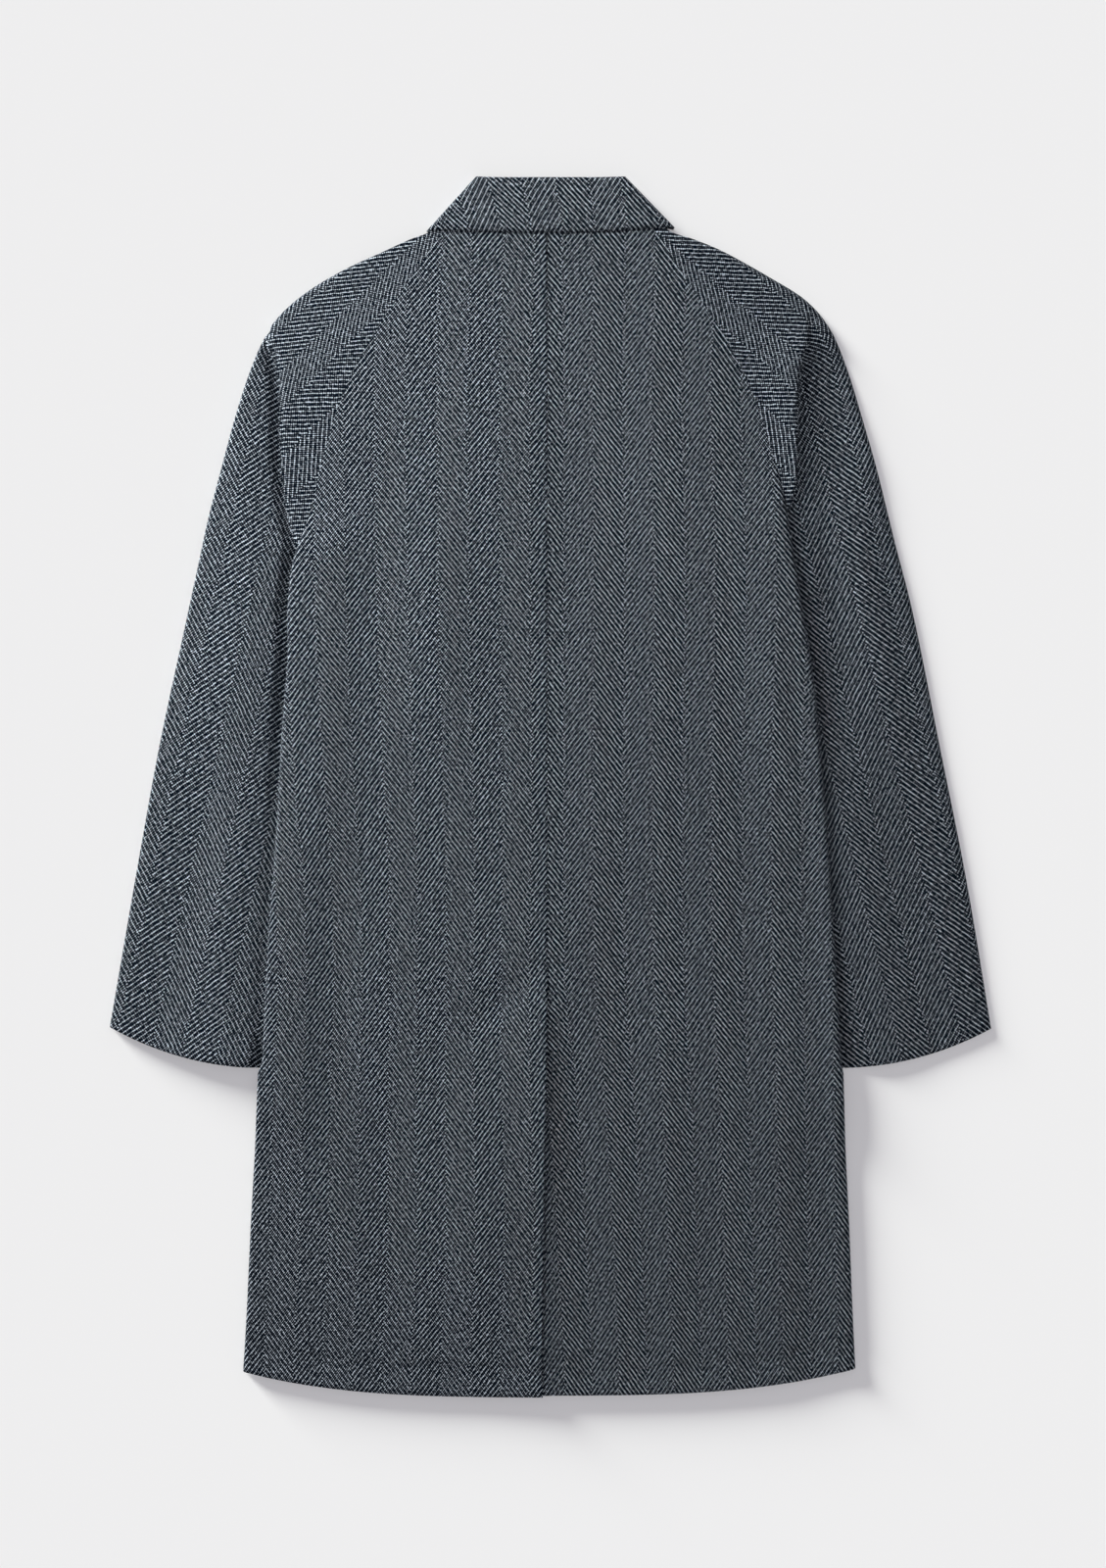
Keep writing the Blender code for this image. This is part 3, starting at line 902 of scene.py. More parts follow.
@dataclass
class Back(SidePiece):
    """One half of the back, with its half of the vent."""

    centre_x: float = -2.6
    drift: float = -4.4                 # how far the centre-back line strays toward the hem
    drift_top_y: float = -150.0
    vent_top_y: float = -173.0
    vent_slant: float = 0.84            # fall of the vent's top seam for each millimetre toward the side
    vent_step: float = 11.0             # half the width of the step at that seam
    vent_edge: float = 1.1              # step from the lower layer up to the over-lap's edge
    vent_ramp: float = 88.0             # width of the over-lap's rise toward that edge
    ramp_power: float = 1.6
    vent_bank: float = 4.3              # rise of the lower layer beside it
    bank_run: float = 24.0
    bank_grows: tuple[float, float] = (-160.0, -280.0)
    bank_fades: tuple[float, float] = (-320.0, -470.0)
    bank_loss: float = 0.6              # share of the bank that is lost by the hem
    vent_open: tuple[float, float] = (-230.0, -270.0)   # heights between which the under-lap widens
    vent_lap: float = 38.0
    lap_cells: int = 0                  # columns of the under-lap
    lap_starts: tuple[float, float] = (1.8, 0.1)    # how far short of the centre: above the vent, and in it
    side_spread: tuple[float, float] = (80.0, 28.0)     # distances from the side over which it lifts
    side_roll: float = 3.4
    side_bend: float = 0.25
    side_ridge: float = 0.0             # rise of a soft ridge along the side
    ridge_run: float = 7.0              # its width, and its distance from the edge
    side_puff: float = 3.3              # rise of the skirt's side above its layers
    lift_early: float = 20.0            # how far past the sleeve's ends the side stays lifted
    hem_roll: float = 3.4
    hem_drop: float = 4.4
    hem_cells: int = 5                  # rows round the hem's rounding
    hem_dent: float = 0.9               # depth of the dent below the hem's sewn turning
    dent_top: tuple[float, float] = (31.5, 28.5)    # heights above the hem between which it starts
    dent_fill: float = 26.0             # height above the hem from which it fills up again
    seam_edge: float = 2.4              # width of the half's edge that bends down into the centre-back seam
    groove: float = 0.05                # depth of the raglan seam
    groove_width: float = 2.0
    roll_cells: int = 7                 # columns round the side's roll
    stagger: float = 2.8                # offset of the right half's diagonals from the left half's
    stripes: ClassVar[dict[str, Curve]] = {
        column: Curve.of(STRIPES, "y", column) for column in StripeRow._fields if column != "y"
    }

    def centre(self, y: float) -> float:
        """Distance of the centre-back line from the middle, toward the piece's side."""
        drift = self.drift * ease(self.drift_top_y, self.plan.hem_left, y)
        return self.side.value * (self.centre_x + drift) + 0.5 * self.plan.seam

    def column(self, across: float, width: float, y: float) -> float:
        """Distance of a column from the side.

        Args:
            across: Share of the grid's columns, from the side.
            width: Width of the half as far as the centre-back line.
            y: Height on the coat.

        Returns:
            The distance; the last columns of a half with an under-lap are kept for that.
        """
        step = across * self.cells[0]
        cells = self.cells[0] - self.lap_cells
        opened = ease(*self.vent_open, y)
        start = width
        if self.lap_cells:
            start -= self.lap_starts[0] + (self.lap_starts[1] - self.lap_starts[0]) * opened
        if step <= cells:
            return close_steps(step / cells, cells, self.roll_cells, start, self.plan.roll, self.seam_edge)
        part = (step - cells - 1.0) / (self.lap_cells - 1.0)
        return start + 2.0 * SLIVER + (width + self.vent_lap * opened - start - 2.0 * SLIVER) * part

    def vent_lift(self, from_centre: float, y: float) -> float:
        """Rise of the over-lap below its slanting top seam, toward its edge, or of the layer beside it.

        Args:
            from_centre: Distance from the centre-back line.
            y: Height on the coat.

        Returns:
            The rise.
        """
        bank = self.vent_bank * ease(*self.bank_grows, y) * (1.0 - self.bank_loss * ease(*self.bank_fades, y))
        if self.side is Side.RIGHT:
            return bank * max(1.0 - from_centre / self.bank_run, 0.0) ** 2 if from_centre > 0.0 else 0.0
        below = self.vent_top_y - self.vent_slant * from_centre - y
        ramp = max(1.0 - from_centre / self.vent_ramp, 0.0) ** self.ramp_power
        return (bank + self.vent_edge) * ramp * ease(-self.vent_step, self.vent_step, below)

    def top(self, from_centre: float, y: float, from_edge: float) -> float:
        """Height of the outer face before its seams and creases.

        Args:
            from_centre: Distance from the centre-back line.
            y: Height on the coat.
            from_edge: Distance from the side or the raglan seam.

        Returns:
            The height.
        """
        plan = self.plan
        centre = plan.stack + plan.cloth
        over = plan.over_sleeve(self.side, y, self.lift_early)
        dive = plan.dive(self.side, y)
        puffed = self.side_puff + (plan.stack - self.side_puff) * over
        at_side = centre + (plan.layer + plan.cloth + puffed - centre) * dive
        level = centre + (at_side - centre) * ease(*self.side_spread, from_edge)
        low = level + (plan.stack * over + plan.floor_clear - level) * dive
        level += self.side_ridge * dive * math.exp(-((from_edge / self.ridge_run - 1.0) ** 2))
        side = rolled_side(level, low, from_edge, self.side_roll, self.side_bend)
        return side + self.vent_lift(from_centre, y)

    def relief(self, out: float, y: float, from_edge: float, from_hem: float) -> float:
        """Groove of the raglan seam, hem and creases of the outer face.

        Args:
            out: Distance from the middle.
            y: Height on the coat.
            from_edge: Distance from the side or the raglan seam.
            from_hem: Distance from the hem.

        Returns:
            Height to add.
        """
        raglan = (1.0 - self.plan.dive(self.side, y)) * math.exp(-((from_edge / self.groove_width) ** 2))
        creases = sum(crease.lift(self.side.value * out, y) for crease in BACK_CREASES)
        dent = self.hem_dent * ease(*self.dent_top, from_hem) * ease(0.0, self.dent_fill, from_hem)
        return creases - dent - self.groove * raglan - rounded_drop(from_hem, self.hem_roll, self.hem_drop)

    def spot(self, across: float, along: float) -> Spot:
        """Place a point of the outer face.

        Args:
            across: Share of the grid's columns, from the side.
            along: Share of its rows, from the neck.

        Returns:
            The point.
        """
        plan = self.plan
        at_hem = 1.0 - self.column(across, plan.hem_half, plan.hem_left) / plan.hem_half
        hem = plan.hem(self.side, at_hem)
        rows = self.cells[1]
        y = hem + close_steps(1.0 - along, rows, self.hem_cells, plan.neck_seam_y - hem, self.hem_roll)
        centre = self.centre(y)
        outer = plan.side_edge(self.side, y) - 0.5 * plan.seam
        from_edge = self.column(across, outer - centre, y)
        out = outer - from_edge
        z = self.top(out - centre, y, from_edge) + self.relief(out, y, from_edge, y - hem)
        hidden = hidden_length(from_edge, self.side_roll) * plan.dive(self.side, y)
        return Spot(self.side.value * out, y, max(z, plan.floor_clear), hidden)

    def grain(self, spot: Spot, middle: Spot) -> tuple[float, float]:
        """Place a point in the weave, whose stripes follow the photo's.

        Args:
            spot: The point.
            middle: Middle of the face that it belongs to.

        Returns:
            Stripes across the weave and stripe widths along it.
        """
        word = self.side.word
        first = self.stripes[f"{word}_first"].at(spot.y)
        width = self.stripes[f"{word}_width"].at(spot.y)
        shift = self.stagger if self.side is Side.RIGHT else 0.0
        return (self.out(spot.x) + spot.hidden - first) / width, (spot.y + shift) / self.stripe


@dataclass
class Front(SidePiece):
    """One front, hidden below the back: the left one laps over the right one on the wearer."""

    lap: float = 38.0                   # how far the front reaches past the middle
    lap_rise: tuple[float, float] = (98.0, 63.0)        # where the right one climbs onto the left one
    lift_spread: tuple[float, float] = (70.0, 24.0)     # distances from the edge over which it lifts
    neck_y: float = 432.0
    neck_power: int = 4                 # how late the neck's edge rises toward the shoulder
    shoulder_y: float = 493.17
    hem_short: float = 4.0
    inset_dive: float = 0.6             # share of the armpit's dive by which the side is inset

    def spot(self, across: float, along: float) -> Spot:
        """Place a point of the outer face, which lies on the floor.

        Args:
            across: Share of the grid's columns, from the side.
            along: Share of its rows, from the neck.

        Returns:
            The point.
        """
        plan = self.plan
        share = 1.0 - along
        from_side = 1.0 - across
        hem = plan.hem(self.side, from_side) + self.hem_short * along
        neck = self.neck_y + (self.shoulder_y - self.neck_y) * from_side ** self.neck_power
        y = hem + (neck - hem) * share
        edge = plan.edges[self.side].at(y)
        inset = plan.under_inset * ease(0.0, self.inset_dive, plan.dive(self.side, y))
        outer = edge - 0.5 * plan.seam - inset
        out = -self.lap + (outer + self.lap) * from_side
        lift = plan.stack * plan.over_sleeve(self.side, y, early=0.0) * ease(*self.lift_spread, edge - out)
        height = lift + plan.neck_pile(out, y)
        if self.side is Side.RIGHT:
            height = max(height, plan.layer * ease(*self.lap_rise, out))
        return Spot(self.side.value * out, y, height)


@dataclass
class Sleeve(SidePiece):
    """What both halves of a raglan sleeve share: its sections and how its stripes bend at the shoulder."""

    cuff_bulge: float = 11.0            # how far the cuff's edge curves out in its middle
    bulge_top_y: float = -40.0
    bulge_heading: tuple[float, float] = (0.2, -0.98)
    cap_angle: float = 44.0             # slope of the stripes on the shoulder, in degrees
    arm_angle: float = 12.6             # lean of the stripes down the arm
    stripe: float = 27.6
    first_turn: int = -5                # number of the innermost turn below; the bend follows turn 0
    cap_turns: tuple[float, ...] = (-147.0, -115.4, -83.0, -51.0, -27.0, 0.0, 25.0)
    arm_turns: tuple[float, ...] = (-153.0, -122.0, -92.0, -61.3, -33.0, 0.0, 31.0)
    bend_radius: float = 60.0           # radius of the bend along the stripes' outer turn
    turn_on_cap: tuple[float, float] = (185.9, 465.1)   # a point of that turn on each side of the bend
    turn_on_arm: tuple[float, float] = (263.6, 342.8)

    def __post_init__(self) -> None:
        """Work out the sleeve's curves and the pivot that its stripes bend round."""
        stations = SLEEVE[self.side]
        self.stations = {name: Curve.of(stations, "seat_y", name) for name in ("tuck", "out", "y")}
        self.fold = Curve.of(FOLD, "y", self.side.word)
        turns = range(self.first_turn, self.first_turn + len(self.cap_turns))
        self.cap_stripes = Curve(self.cap_turns, turns)
        self.arm_stripes = Curve(self.arm_turns, turns)
        cap = math.radians(90.0 - self.cap_angle)
        arm = math.radians(self.arm_angle)
        self.cap_normal = (math.cos(cap), math.sin(cap))
        self.arm_normal = (math.cos(arm), math.sin(arm))
        self.bend = cap - arm
        reach_cap = sum(a * b for a, b in zip(self.turn_on_cap, self.cap_normal)) - self.bend_radius
        reach_arm = sum(a * b for a, b in zip(self.turn_on_arm, self.arm_normal)) - self.bend_radius
        spread = math.sin(arm - cap)
        out = (reach_cap * self.arm_normal[1] - reach_arm * self.cap_normal[1]) / spread
        y = (reach_arm * self.cap_normal[0] - reach_cap * self.arm_normal[0]) / spread
        self.pivot = (out, y)

    def section(self, seat_y: float) -> tuple[tuple[float, float], tuple[float, float]]:
        """Inner and outer plan points of one section.

        Args:
            seat_y: Height at which the section leaves the back's edge.

        Returns:
            Two pairs of distance from the middle and height on the coat.
        """
        plan = self.plan
        inner = plan.edges[self.side].at(seat_y) + 0.5 * plan.seam - self.stations["tuck"].at(seat_y)
        return (inner, seat_y), (self.stations["out"].at(seat_y), self.stations["y"].at(seat_y))

    def width(self, seat_y: float) -> float:
        """Width of the section that leaves the back's edge at a height."""
        return math.dist(*self.section(seat_y))

    def place(self, share: float, seat_y: float) -> tuple[float, float]:
        """Plan point of a section.

        Args:
            share: Share of the way from the inner edge to the outer one.
            seat_y: Height at which the section leaves the back's edge.

        Returns:
            Distance from the middle and height on the coat.
        """
        inner, outer = self.section(seat_y)
        near_cuff = ease(self.bulge_top_y, self.plan.cuff_seat_y, seat_y)
        bulge = self.cuff_bulge * 4.0 * share * (1.0 - share) * near_cuff
        out = inner[0] + (outer[0] - inner[0]) * share + self.bulge_heading[0] * bulge
        return out, inner[1] + (outer[1] - inner[1]) * share + self.bulge_heading[1] * bulge

    def grain(self, spot: Spot, middle: Spot) -> tuple[float, float]:
        """Place a point in the weave, which bends at the shoulder and breaks along the fold.

        Args:
            spot: The point.
            middle: Middle of the face that it belongs to.

        Returns:
            Stripes across the weave and stripe widths along it.
        """
        on_cap = self.out(middle.x) < self.fold.at(middle.y) and middle.y > self.plan.armpit(self.side)
        out = self.out(spot.x) - self.pivot[0]
        y = spot.y - self.pivot[1]
        cap_angle = math.atan2(self.cap_normal[1], self.cap_normal[0])
        bent = (cap_angle - math.atan2(y, out)) / self.bend
        if on_cap or bent < 0.0:
            bent = 0.0
            reach = out * self.cap_normal[0] + y * self.cap_normal[1]
            run = y * self.cap_normal[0] - out * self.cap_normal[1]
        elif bent > 1.0:
            bent = 1.0
            reach = out * self.arm_normal[0] + y * self.arm_normal[1]
            run = y * self.arm_normal[0] - out * self.arm_normal[1] - self.bend_radius * self.bend
        else:
            reach = math.hypot(out, y)
            run = -self.bend_radius * bent * self.bend
        reach += spot.hidden - self.bend_radius
        stripes = self.cap_stripes.at(reach) * (1.0 - bent) + self.arm_stripes.at(reach) * bent
        return stripes, run / self.stripe


@dataclass
class SleeveBack(Sleeve):
    """Back half of a sleeve, which shows from the collar to the cuff."""

    trough: float = 4.6                 # height of the crease beside the body
    trough_rise: float = 1.4            # how much higher that runs between elbow and cuff
    rise_starts: tuple[float, float] = (110.0, -70.0)
    rise_ends: tuple[float, float] = (-248.0, -212.0)
    loft_thins: float = 2.2             # how much less the sleeve rises there
    corner_depth: float = 1.3           # how much lower the crease runs at the cuff
    corner_run: float = 15.0
    corner_starts: tuple[float, float] = (-192.0, -240.0)
    valley: Curve | None = None         # height over the distance from the body where the arm sinks beside it
    valley_starts: tuple[float, float] = (-20.0, 170.0)
    valley_run: tuple[float, float] = (76.0, 48.0)
    loft: float = 6.0                   # rise of the sleeve out of the crease
    loft_from: float = 0.5
    loft_run: float = 13.0
    swell: float = 2.0                  # its slower rise past that
    swell_from: float = 2.0
    swell_run: float = 36.0
    loft_fall: float = 2.0              # its fall from there to the outer side
    fall_run: float = 60.0
    fold_half: float = 1.4              # half the width of the step down at the cap's fold
    fold_shift: float = -1.4            # offset of that step from the fold's line
    fold_fade: tuple[float, float] = (404.0, 444.0)     # heights over which it fades toward the shoulder
    fold_ridge: float = 0.2             # rise of the cap along its fold
    ridge_inside: float = 5.0
    ridge_width: float = 6.0
    ridge_fade: float = 30.0            # distance from the raglan seam within which it fades
    undercut: float = 2.8               # how far the crease reaches under the fold
    undercut_at: float = 0.6
    undercut_width: float = 1.3
    outer_roll: float = 3.4
    outer_bend: float = 0.25
    cuff_roll: float = 3.0
    cuff_drop: float = 3.6
    cuff_cells: int = 5                 # rows round the cuff's rounding
    tip_flat: tuple[float, float] = (496.0, 466.0)      # heights between the flat tip and the full roll
    groove: float = 0.05                # depth of the raglan seam
    groove_width: float = 2.0
    roll_cells: int = 7                 # columns round the outer side's roll
    roll_share: float = 0.4             # most of a section's width that the close columns take

    def past_fold(self, out: float, y: float) -> float:
        """Distance past the cap's fold, toward the outer side."""
        return out - self.fold.at(y) - self.fold_shift

    def crease(self, y: float, seat_y: float) -> float:
        """Distance of the crease beside the body from the middle.

        Args:
            y: Height on the coat.
            seat_y: Height at which the section leaves the back's edge.

        Returns:
            The body's side below the armpit, and the fold above it where that is farther out.
        """
        edge = self.plan.side_edge(self.side, y)
        if seat_y <= self.plan.armpit(self.side):
            return edge
        return max(edge, self.fold.at(y) + self.fold_shift)

    def arm(self, beyond: float, y: float) -> float:
        """Height of the arm as it rises out of the crease beside the body and falls to its outer side.

        Args:
            beyond: Distance from the crease.
            y: Height on the coat.

        Returns:
            The height of the outer face.
        """
        shallow = ease(*self.rise_starts, y) * ease(*self.rise_ends, y)
        rise = self.trough_rise * shallow
        loft = self.loft - rise - self.loft_thins * shallow
        arm = self.trough + rise + loft * ease(self.loft_from, self.loft_from + self.loft_run, beyond)
        arm -= self.corner_depth * ease(self.corner_run, 0.0, beyond) * ease(*self.corner_starts, y)
        arm += self.swell * ease(self.swell_from, self.swell_run, beyond)
        arm -= self.loft_fall * ease(self.swell_run, self.swell_run + self.fall_run, beyond)
        if self.valley:
            sunk = ease(*self.valley_starts, y) * (1.0 - ease(*self.fold_fade, y))
            arm += (self.valley.at(beyond) - arm) * sunk * ease(*self.valley_run, beyond)
        return arm

    def cap(self, out: float, y: float) -> float:
        """Height of the shoulder cap, with the soft ridge along its fold.

        Args:
            out: Distance from the middle.
            y: Height on the coat.

        Returns:
            The height of the outer face.
        """
        ridge = math.exp(-(((self.past_fold(out, y) + self.ridge_inside) / self.ridge_width) ** 2))
        ridge *= ease(0.0, self.ridge_fade, out - self.plan.edges[self.side].at(y))
        return self.plan.stack + self.plan.cloth + self.fold_ridge * (1.0 - ease(*self.fold_fade, y)) * ridge

    def top(self, out: float, y: float, from_outer: float, seat_y: float) -> float:
        """Height of the outer face before its creases.

        Args:
            out: Distance from the middle.
            y: Height on the coat.
            from_outer: Distance from the sleeve's outer side.
            seat_y: Height at which the section leaves the back's edge.

        Returns:
            The height.
        """
        plan = self.plan
        level = self.arm(out - self.crease(y, seat_y), y)
        if seat_y > plan.armpit(self.side):
            inside = ease(self.fold_half, -self.fold_half, self.past_fold(out, y))
            level += (self.cap(out, y) - level) * max(inside, ease(*self.fold_fade, y))
        low = plan.floor_clear + plan.neck_pile(out, y)
        low = level + (low - level) * ease(*self.tip_flat, y)
        return rolled_side(level, low, from_outer, self.outer_roll, self.outer_bend)

    def spot(self, across: float, along: float) -> Spot:
        """Place a point of the outer face.

        Args:
            across: Share of the grid's columns, from the outer side.
            along: Share of its rows, from the neck.

        Returns:
            The point.
        """
        plan = self.plan
        length = plan.neck_seam_y - plan.cuff_seat_y
        from_cuff = close_steps(1.0 - along, self.cells[1], self.cuff_cells, length, self.cuff_roll)
        seat_y = plan.cuff_seat_y + from_cuff
        width = self.width(seat_y)
        radius = min(plan.roll, self.roll_share * width)
        from_outer = close_steps(across, self.cells[0], self.roll_cells, width, radius)
        out, y = self.place(1.0 - from_outer / width, seat_y)
        z = self.top(out, y, from_outer, seat_y)
        seam = math.exp(-(((width - from_outer) / self.groove_width) ** 2))
        z -= self.groove * (1.0 - plan.dive(self.side, seat_y)) * seam
        z -= rounded_drop(from_cuff, self.cuff_roll, self.cuff_drop)
        z += sum(crease.lift(self.side.value * out, y) for crease in SLEEVE_CREASES)
        if seat_y > plan.armpit(self.side):
            under = math.exp(-(((self.past_fold(out, y) - self.undercut_at) / self.undercut_width) ** 2))
            out -= self.undercut * (1.0 - ease(*self.fold_fade, y)) * under
        hidden = hidden_length(from_outer, self.outer_roll) * ease(*self.tip_flat, y)
        return Spot(self.side.value * out, y, max(z, plan.floor_clear), hidden)


@dataclass
class SleeveFront(Sleeve):
    """Front half of a sleeve, hidden below its back half."""

    first_seat_y: float = 475.33
    short: float = 3.0                  # how much higher than the back half it ends
    short_top_y: float = -200.0

    def spot(self, across: float, along: float) -> Spot:
        """Place a point of the outer face, which lies on the floor.

        Args:
            across: Share of the grid's columns, from the outer side.
            along: Share of its rows, from the neck.

        Returns:
            The point.
        """
        plan = self.plan
        seat_y = self.first_seat_y + (plan.cuff_seat_y - self.first_seat_y) * along
        width = self.width(seat_y)
        out, y = self.place((1.0 - across) * (1.0 - plan.under_inset / width), seat_y)
        y += self.short * ease(self.short_top_y, plan.cuff_seat_y, seat_y)
        return Spot(self.side.value * out, y, plan.neck_pile(out, y))


@dataclass
class CollarFall(Piece):
    """The collar's fall: one band from leaf to leaf round the back of the neck, with a rounded top edge."""

    top_y: float = 548.0
    top_half: float = 67.5
    low_y: float = 499.6
    low_half: float = 111.4
    sag: float = 1.6                    # dip of the lower edge in the middle
    tilt: float = 3.2                   # rise of the lower edge at its right end
    tilt_spread: tuple[float, float] = (0.3, 1.2)       # shares of the half back over which it rises
    roll: float = 4.4
    roll_cells: int = 8
    leaf_cells: int = 16
    fold_cells: int = 22
    leaf_length: float = 60.0
    rim: float = 2.2                    # drop of the lower edge's rounded rim
    rim_run: float = 4.0
    rim_share: float = 0.96
    roll_spread: tuple[float, float] = (1.286, 0.714)   # shares of the half back over which the top roll ends
    side_bend: float = 0.5              # power of the side folds' section: 1 is round, less is squarer
    stripe: float = 29.0
    stripe_x: float = 7.9               # a point on one turn of the stripes
    stripe_y: float = 522.0
    # Lean of the stripes over the distance from the middle
    leans: ClassVar[Curve] = Curve(
        (-62.0, -30.0, 5.0, 35.0, 65.0), (0.30, 0.26, 0.15, 0.13, 0.13), beyond=0.0
    )

    def slide(self, along: float) -> tuple[float, float]:
        """Place one row on the fall.

        Args:
            along: Share of the grid's rows, from the top edge.

        Returns:
            Its distance from the top edge and its depth below the outer face.
        """
        row = along * self.cells[1]
        if row < self.roll_cells:
            angle = 0.5 * math.pi * (1.0 - row / self.roll_cells)
            return self.roll * (1.0 - math.sin(angle)), self.roll * (1.0 - math.cos(angle))
        part = (row - self.roll_cells) / (self.cells[1] - self.roll_cells)
        return self.roll + (self.top_y - self.low_y - self.roll) * part, 0.0

    def spot(self, across: float, along: float) -> Spot:
        """Place a point of the outer face: leaf, side fold, back, side fold and leaf in turn.

        Args:
            across: Share of the grid's columns, from the right leaf.
            along: Share of its rows, from the top edge.

        Returns:
            The point.
        """
        plan = self.plan
        top = plan.stack + plan.cloth + plan.layer
        turn = 0.5 * top
        slide, depth = self.slide(along)
        reach = abs(across - 0.5) * self.cells[0]
        half_back = 0.5 * self.cells[0] - self.leaf_cells - self.fold_cells
        sign = 1.0 if across < 0.5 else -1.0
        run = (self.low_half - self.top_half, self.top_y - self.low_y)
        length = math.hypot(*run)
        stretch = length / run[1]
        axis_out = self.top_half + run[0] * slide / run[1] - turn * stretch
        tilt = self.tilt * ease(*self.tilt_spread, sign * reach / half_back)
        y = self.top_y - slide + tilt * slide / run[1]
        from_low = self.top_y - self.low_y - slide
        rim = self.rim * (1.0 - math.sqrt(1.0 - self.rim_share * ease(self.rim_run, 0.0, from_low) ** 2))
        if reach <= half_back:
            share = reach / half_back
            depth *= ease(*self.roll_spread, share)
            sag = self.sag * (1.0 - share * share) * slide / run[1]
            return Spot(sign * axis_out * share, y - sag, top - depth - rim)
        if reach <= half_back + self.fold_cells:
            angle = math.pi * (reach - half_back) / self.fold_cells
            depth *= ease(*self.roll_spread, 1.0 + angle / math.pi)
            radius = turn - depth - rim * ease(0.5 * math.pi, 0.0, angle)
            wide = abs(math.sin(angle)) ** self.side_bend
            tall = math.copysign(abs(math.cos(angle)) ** self.side_bend, math.cos(angle))
            out = axis_out + radius * stretch * wide
            hidden = radius * (1.0 - tall)
            if angle > 0.5 * math.pi:
                hidden += 2.0 * radius * stretch * (1.0 - wide)
            return Spot(sign * out, y, turn + radius * tall, hidden)
        distance = self.leaf_length * (reach - half_back - self.fold_cells) / self.leaf_cells
        heading = (2.0 * run[0] * run[0] / length ** 2 - 1.0, -2.0 * run[0] * run[1] / length ** 2)
        out = axis_out + heading[0] * distance
        hidden = 2.0 * turn * (1.0 + stretch) + distance - (out - axis_out)
        return Spot(sign * out, y + heading[1] * distance, 0.0, hidden)

    def grain(self, spot: Spot, middle: Spot) -> tuple[float, float]:
        """Place a point in the weave, whose stripes lean as the photo's do.

        Args:
            spot: The point.
            middle: Middle of the face that it belongs to.

        Returns:
            Stripes across the weave and stripe widths along it.
        """
        lean = self.leans.at(spot.x) * (self.stripe_y - spot.y)
        hidden = math.copysign(spot.hidden, spot.x)
        return (spot.x + hidden - self.stripe_x - lean) / self.stripe + 1.0, spot.y / self.stripe


@dataclass
class CollarStand(Piece):
    """The collar's stand at the back of the neck, hidden below the fall."""

    top_y: float = 540.6
    low_y: float = 511.3
    top_half: float = 64.6
    low_half: float = 91.2
    stripe: float = 29.0

    def spot(self, across: float, along: float) -> Spot:
        """Place a point of the outer face, level with the back's.

        Args:
            across: Share of the grid's columns, from the right end.
            along: Share of its rows, from the top edge.

        Returns:
            The point.
        """
        half = self.top_half + (self.low_half - self.top_half) * along
        y = self.top_y + (self.low_y - self.top_y) * along
        return Spot(half * (1.0 - 2.0 * across), y, self.plan.stack + self.plan.cloth)


@dataclass(frozen=True)
class Lamp:
    """One soft light that faces the coat's middle: how strong, how broad, where from and what colour."""

    name: str
    kind: LampKind
    energy: float                       # watts for a panel, watts to a square metre for a sun
    breadth: float                      # degrees for a sun, metres for a panel
    place: tuple[float, float, float]
    colour: tuple[float, float, float]

    def hang(self, lit: Sequence[bpy.types.Object]) -> None:
        """Add the light to the scene.

        Args:
            lit: Objects that it lights.
        """
        lamp = bpy.data.lights.new(self.name, self.kind.value)
        lamp.energy = self.energy
        lamp.color = self.colour
        if self.kind is LampKind.SUN:
            lamp.angle = math.radians(self.breadth)
        else:
            lamp.size = self.breadth
        light = bpy.data.objects.new(self.name, lamp)
        light.location = self.place
        light.rotation_euler = Vector(self.place).to_track_quat("Z", "Y").to_euler()
        bpy.context.scene.collection.objects.link(light)
        group = bpy.data.collections.new(f"{self.name}_lights")
        for thing in lit:
            group.objects.link(thing)
        light.light_linking.receiver_collection = group


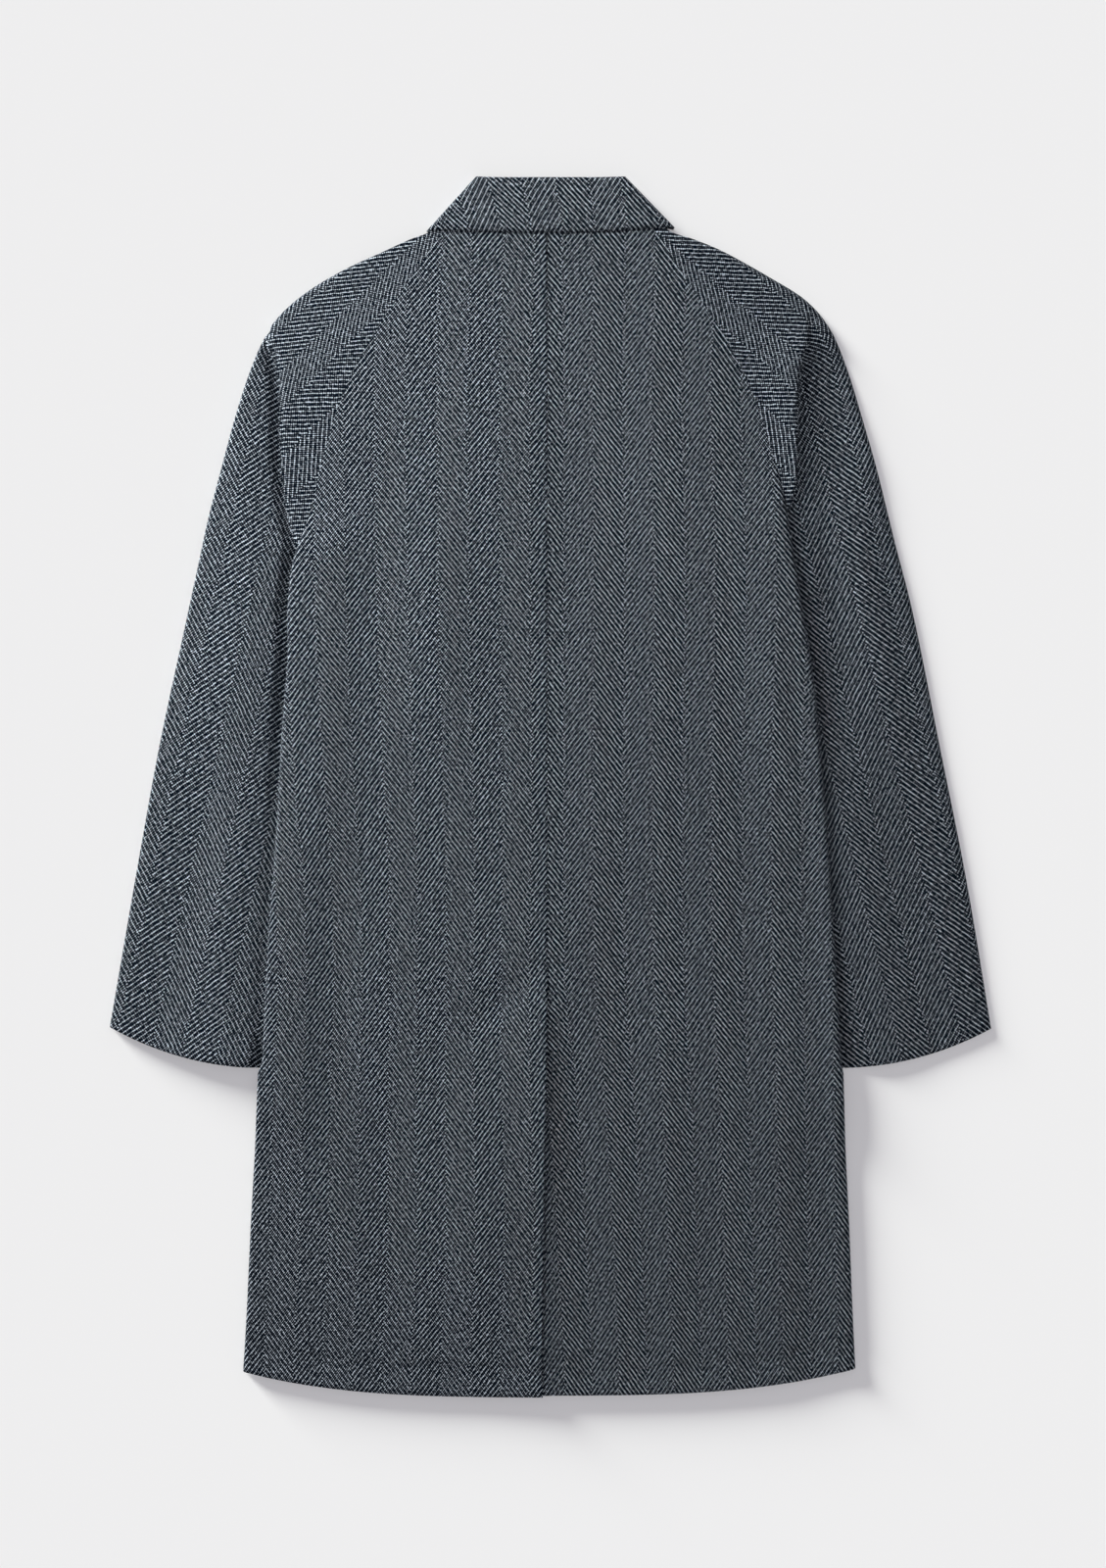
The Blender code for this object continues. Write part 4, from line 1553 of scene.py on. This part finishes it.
@dataclass(frozen=True)
class Studio:
    """Pale floor, soft light from the upper left and a camera straight above the coat."""

    floor_size: float = 9.0
    floor_colour: tuple[float, float, float] = (0.80, 0.80, 0.80)
    floor_roughness: float = 0.95
    sky: float = 0.25
    sky_colour: tuple[float, float, float] = (1.0, 0.98, 1.03)
    floor_light: Lamp = Lamp("floor_light", LampKind.SUN, 7.45, 18.0, (-2.4, 2.4, 0.69), (1.0, 1.02, 0.97))
    floor_fill: Lamp = Lamp("floor_fill", LampKind.SUN, 1.1, 12.0, (0.0, 0.0, 3.0), (1.0, 0.98, 1.03))
    cloth_light: Lamp = Lamp("cloth_light", LampKind.PANEL, 41.0, 1.1, (-1.35, 0.95, 0.58), (1.0, 1.0, 1.0))
    frame_height: float = 1.408         # height of the picture on the coat, in metres
    lens: float = 85.0
    sensor: float = 36.0
    sight: float = 100.0                # how far the camera sees, in metres
    camera_aim: tuple[float, float, float] = (0.0022, 0.0031, 0.008)

    def floor(self) -> bpy.types.Object:
        """Lay the floor.

        Returns:
            The floor's object.
        """
        shader = Shader("floor_paper")
        shader.set({
            "Base Color": (*self.floor_colour, 1.0),
            "Roughness": self.floor_roughness,
            "Specular IOR Level": 0.0,
        })
        grid = bmesh.new()
        bmesh.ops.create_grid(grid, x_segments=1, y_segments=1, size=0.5 * self.floor_size)
        mesh = bpy.data.meshes.new("floor")
        grid.to_mesh(mesh)
        grid.free()
        mesh.materials.append(shader.material)
        floor = bpy.data.objects.new("floor", mesh)
        bpy.context.scene.collection.objects.link(floor)
        return floor

    def lights(self, floor: bpy.types.Object, pieces: Sequence[bpy.types.Object]) -> None:
        """Set the even sky, the floor's low broad light and its fill, and the nearer light of the cloth.

        Args:
            floor: The floor's object.
            pieces: The coat's pieces.
        """
        world = bpy.data.worlds.new("studio_sky")
        world.use_nodes = True
        backdrop = world.node_tree.nodes["Background"]
        backdrop.inputs["Color"].default_value = (*self.sky_colour, 1.0)
        backdrop.inputs["Strength"].default_value = self.sky
        bpy.context.scene.world = world
        self.floor_light.hang([floor])
        self.floor_fill.hang([floor])
        self.cloth_light.hang(pieces)

    def camera(self) -> None:
        """Hang the camera straight above the coat, with the collar at the top of the picture."""
        lens = bpy.data.cameras.new("camera")
        lens.lens = self.lens
        lens.sensor_width = self.sensor
        lens.clip_end = self.sight
        camera = bpy.data.objects.new("camera", lens)
        distance = self.frame_height * self.lens / self.sensor
        camera.location = Vector(self.camera_aim) + Vector((0.0, 0.0, distance))
        bpy.context.scene.collection.objects.link(camera)
        bpy.context.scene.camera = camera

    def build(self, pieces: Sequence[bpy.types.Object]) -> None:
        """Make the whole studio.

        Args:
            pieces: The coat's pieces.
        """
        self.lights(self.floor(), pieces)
        self.camera()
        bpy.context.scene.view_settings.view_transform = "Standard"


def coat_pieces(plan: CoatPlan) -> list[Piece]:
    """List the pieces of the coat.

    Args:
        plan: Sizes that they share.

    Returns:
        The pieces, lowest layers first.
    """
    right = {"side": Side.RIGHT}
    # The right sleeve's stripes
    right_arm = {
        "side": Side.RIGHT,
        "cap_angle": 41.0,
        "arm_angle": 13.7,
        "cap_turns": (-147.0, -115.0, -83.9, -54.3, -28.4, 0.0, 26.0),
        "arm_turns": (-144.0, -116.0, -88.0, -61.0, -31.0, 0.0, 31.0),
        "turn_on_cap": (194.9, 450.4),
        "turn_on_arm": (264.0, 340.5),
    }
    # The right sleeve's back half, whose cap folds softly over a deep valley
    soft_fold = {
        "loft": 2.2,
        "loft_run": 32.0,
        "swell": 0.0,
        "loft_fall": 2.2,
        "valley": Curve((0.0, 8.0, 16.0, 24.0, 30.0, 46.0, 68.0), (6.4, 5.5, 4.4, 3.6, 3.4, 4.6, 6.6), 0.0),
        "fold_half": 2.4,
        "fold_shift": 1.0,
        "fold_ridge": 3.6,
        "ridge_width": 26.0,
        "fold_fade": (378.0, 432.0),
        "corner_run": 46.0,
        "undercut": 0.0,
        "outer_roll": 6.0,
        "outer_bend": 0.5,
        "loft_thins": 0.0,
    }
    # The right half of the back
    under_lap = {"lap_cells": 14, "side_puff": 1.8, "side_bend": 0.5, "side_ridge": 1.0, "seam_edge": SLIVER}
    down = Facing.DOWN
    front = Cut(0.315, 1.02, 0.27)
    back = Cut(0.30, 1.06, 0.26)
    arm = Cut(0.16, 0.86, 0.09)
    return [
        Front(plan, "front_left", front, (48, 120), (), down),
        Front(plan, "front_right", front, (48, 120), ("front_left",), down, **right),
        SleeveFront(plan, "sleeve_front_left", arm, (26, 120), (), down),
        SleeveFront(plan, "sleeve_front_right", arm, (26, 120), (), down, **right_arm),
        SleeveBack(plan, "sleeve_back_left", arm, (112, 280), ("sleeve_front_left",)),
        SleeveBack(
            plan, "sleeve_back_right", arm, (112, 280), ("sleeve_front_right",), **right_arm, **soft_fold
        ),
        Back(
            plan, "back_right", back, (112, 340), ("front_right", "sleeve_back_right"), **right, **under_lap
        ),
        Back(plan, "back_left", back, (104, 340), ("front_left", "sleeve_back_left", "back_right")),
        CollarStand(plan, "collar_stand", Cut(0.183, 0.03, 0.0046), (40, 10), ("front_left", "front_right")),
        CollarFall(plan, "collar_fall", Cut(0.35, 0.062, 0.017), (176, 28), ("collar_stand", "back_left")),
    ]


def main() -> None:
    """Load the frame, build and dress every piece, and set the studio."""
    logging.basicConfig(level=logging.INFO, format="%(name)s: %(message)s")
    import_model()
    wool = HerringboneWool().material()
    pieces = []
    for piece in coat_pieces(CoatPlan()):
        pieces.append(piece.build(wool))
        LOG.info("%s: %d faces before its wall", pieces[-1].name, len(pieces[-1].data.polygons))
    Studio().build(pieces)


if __name__ == "__main__":
    main()
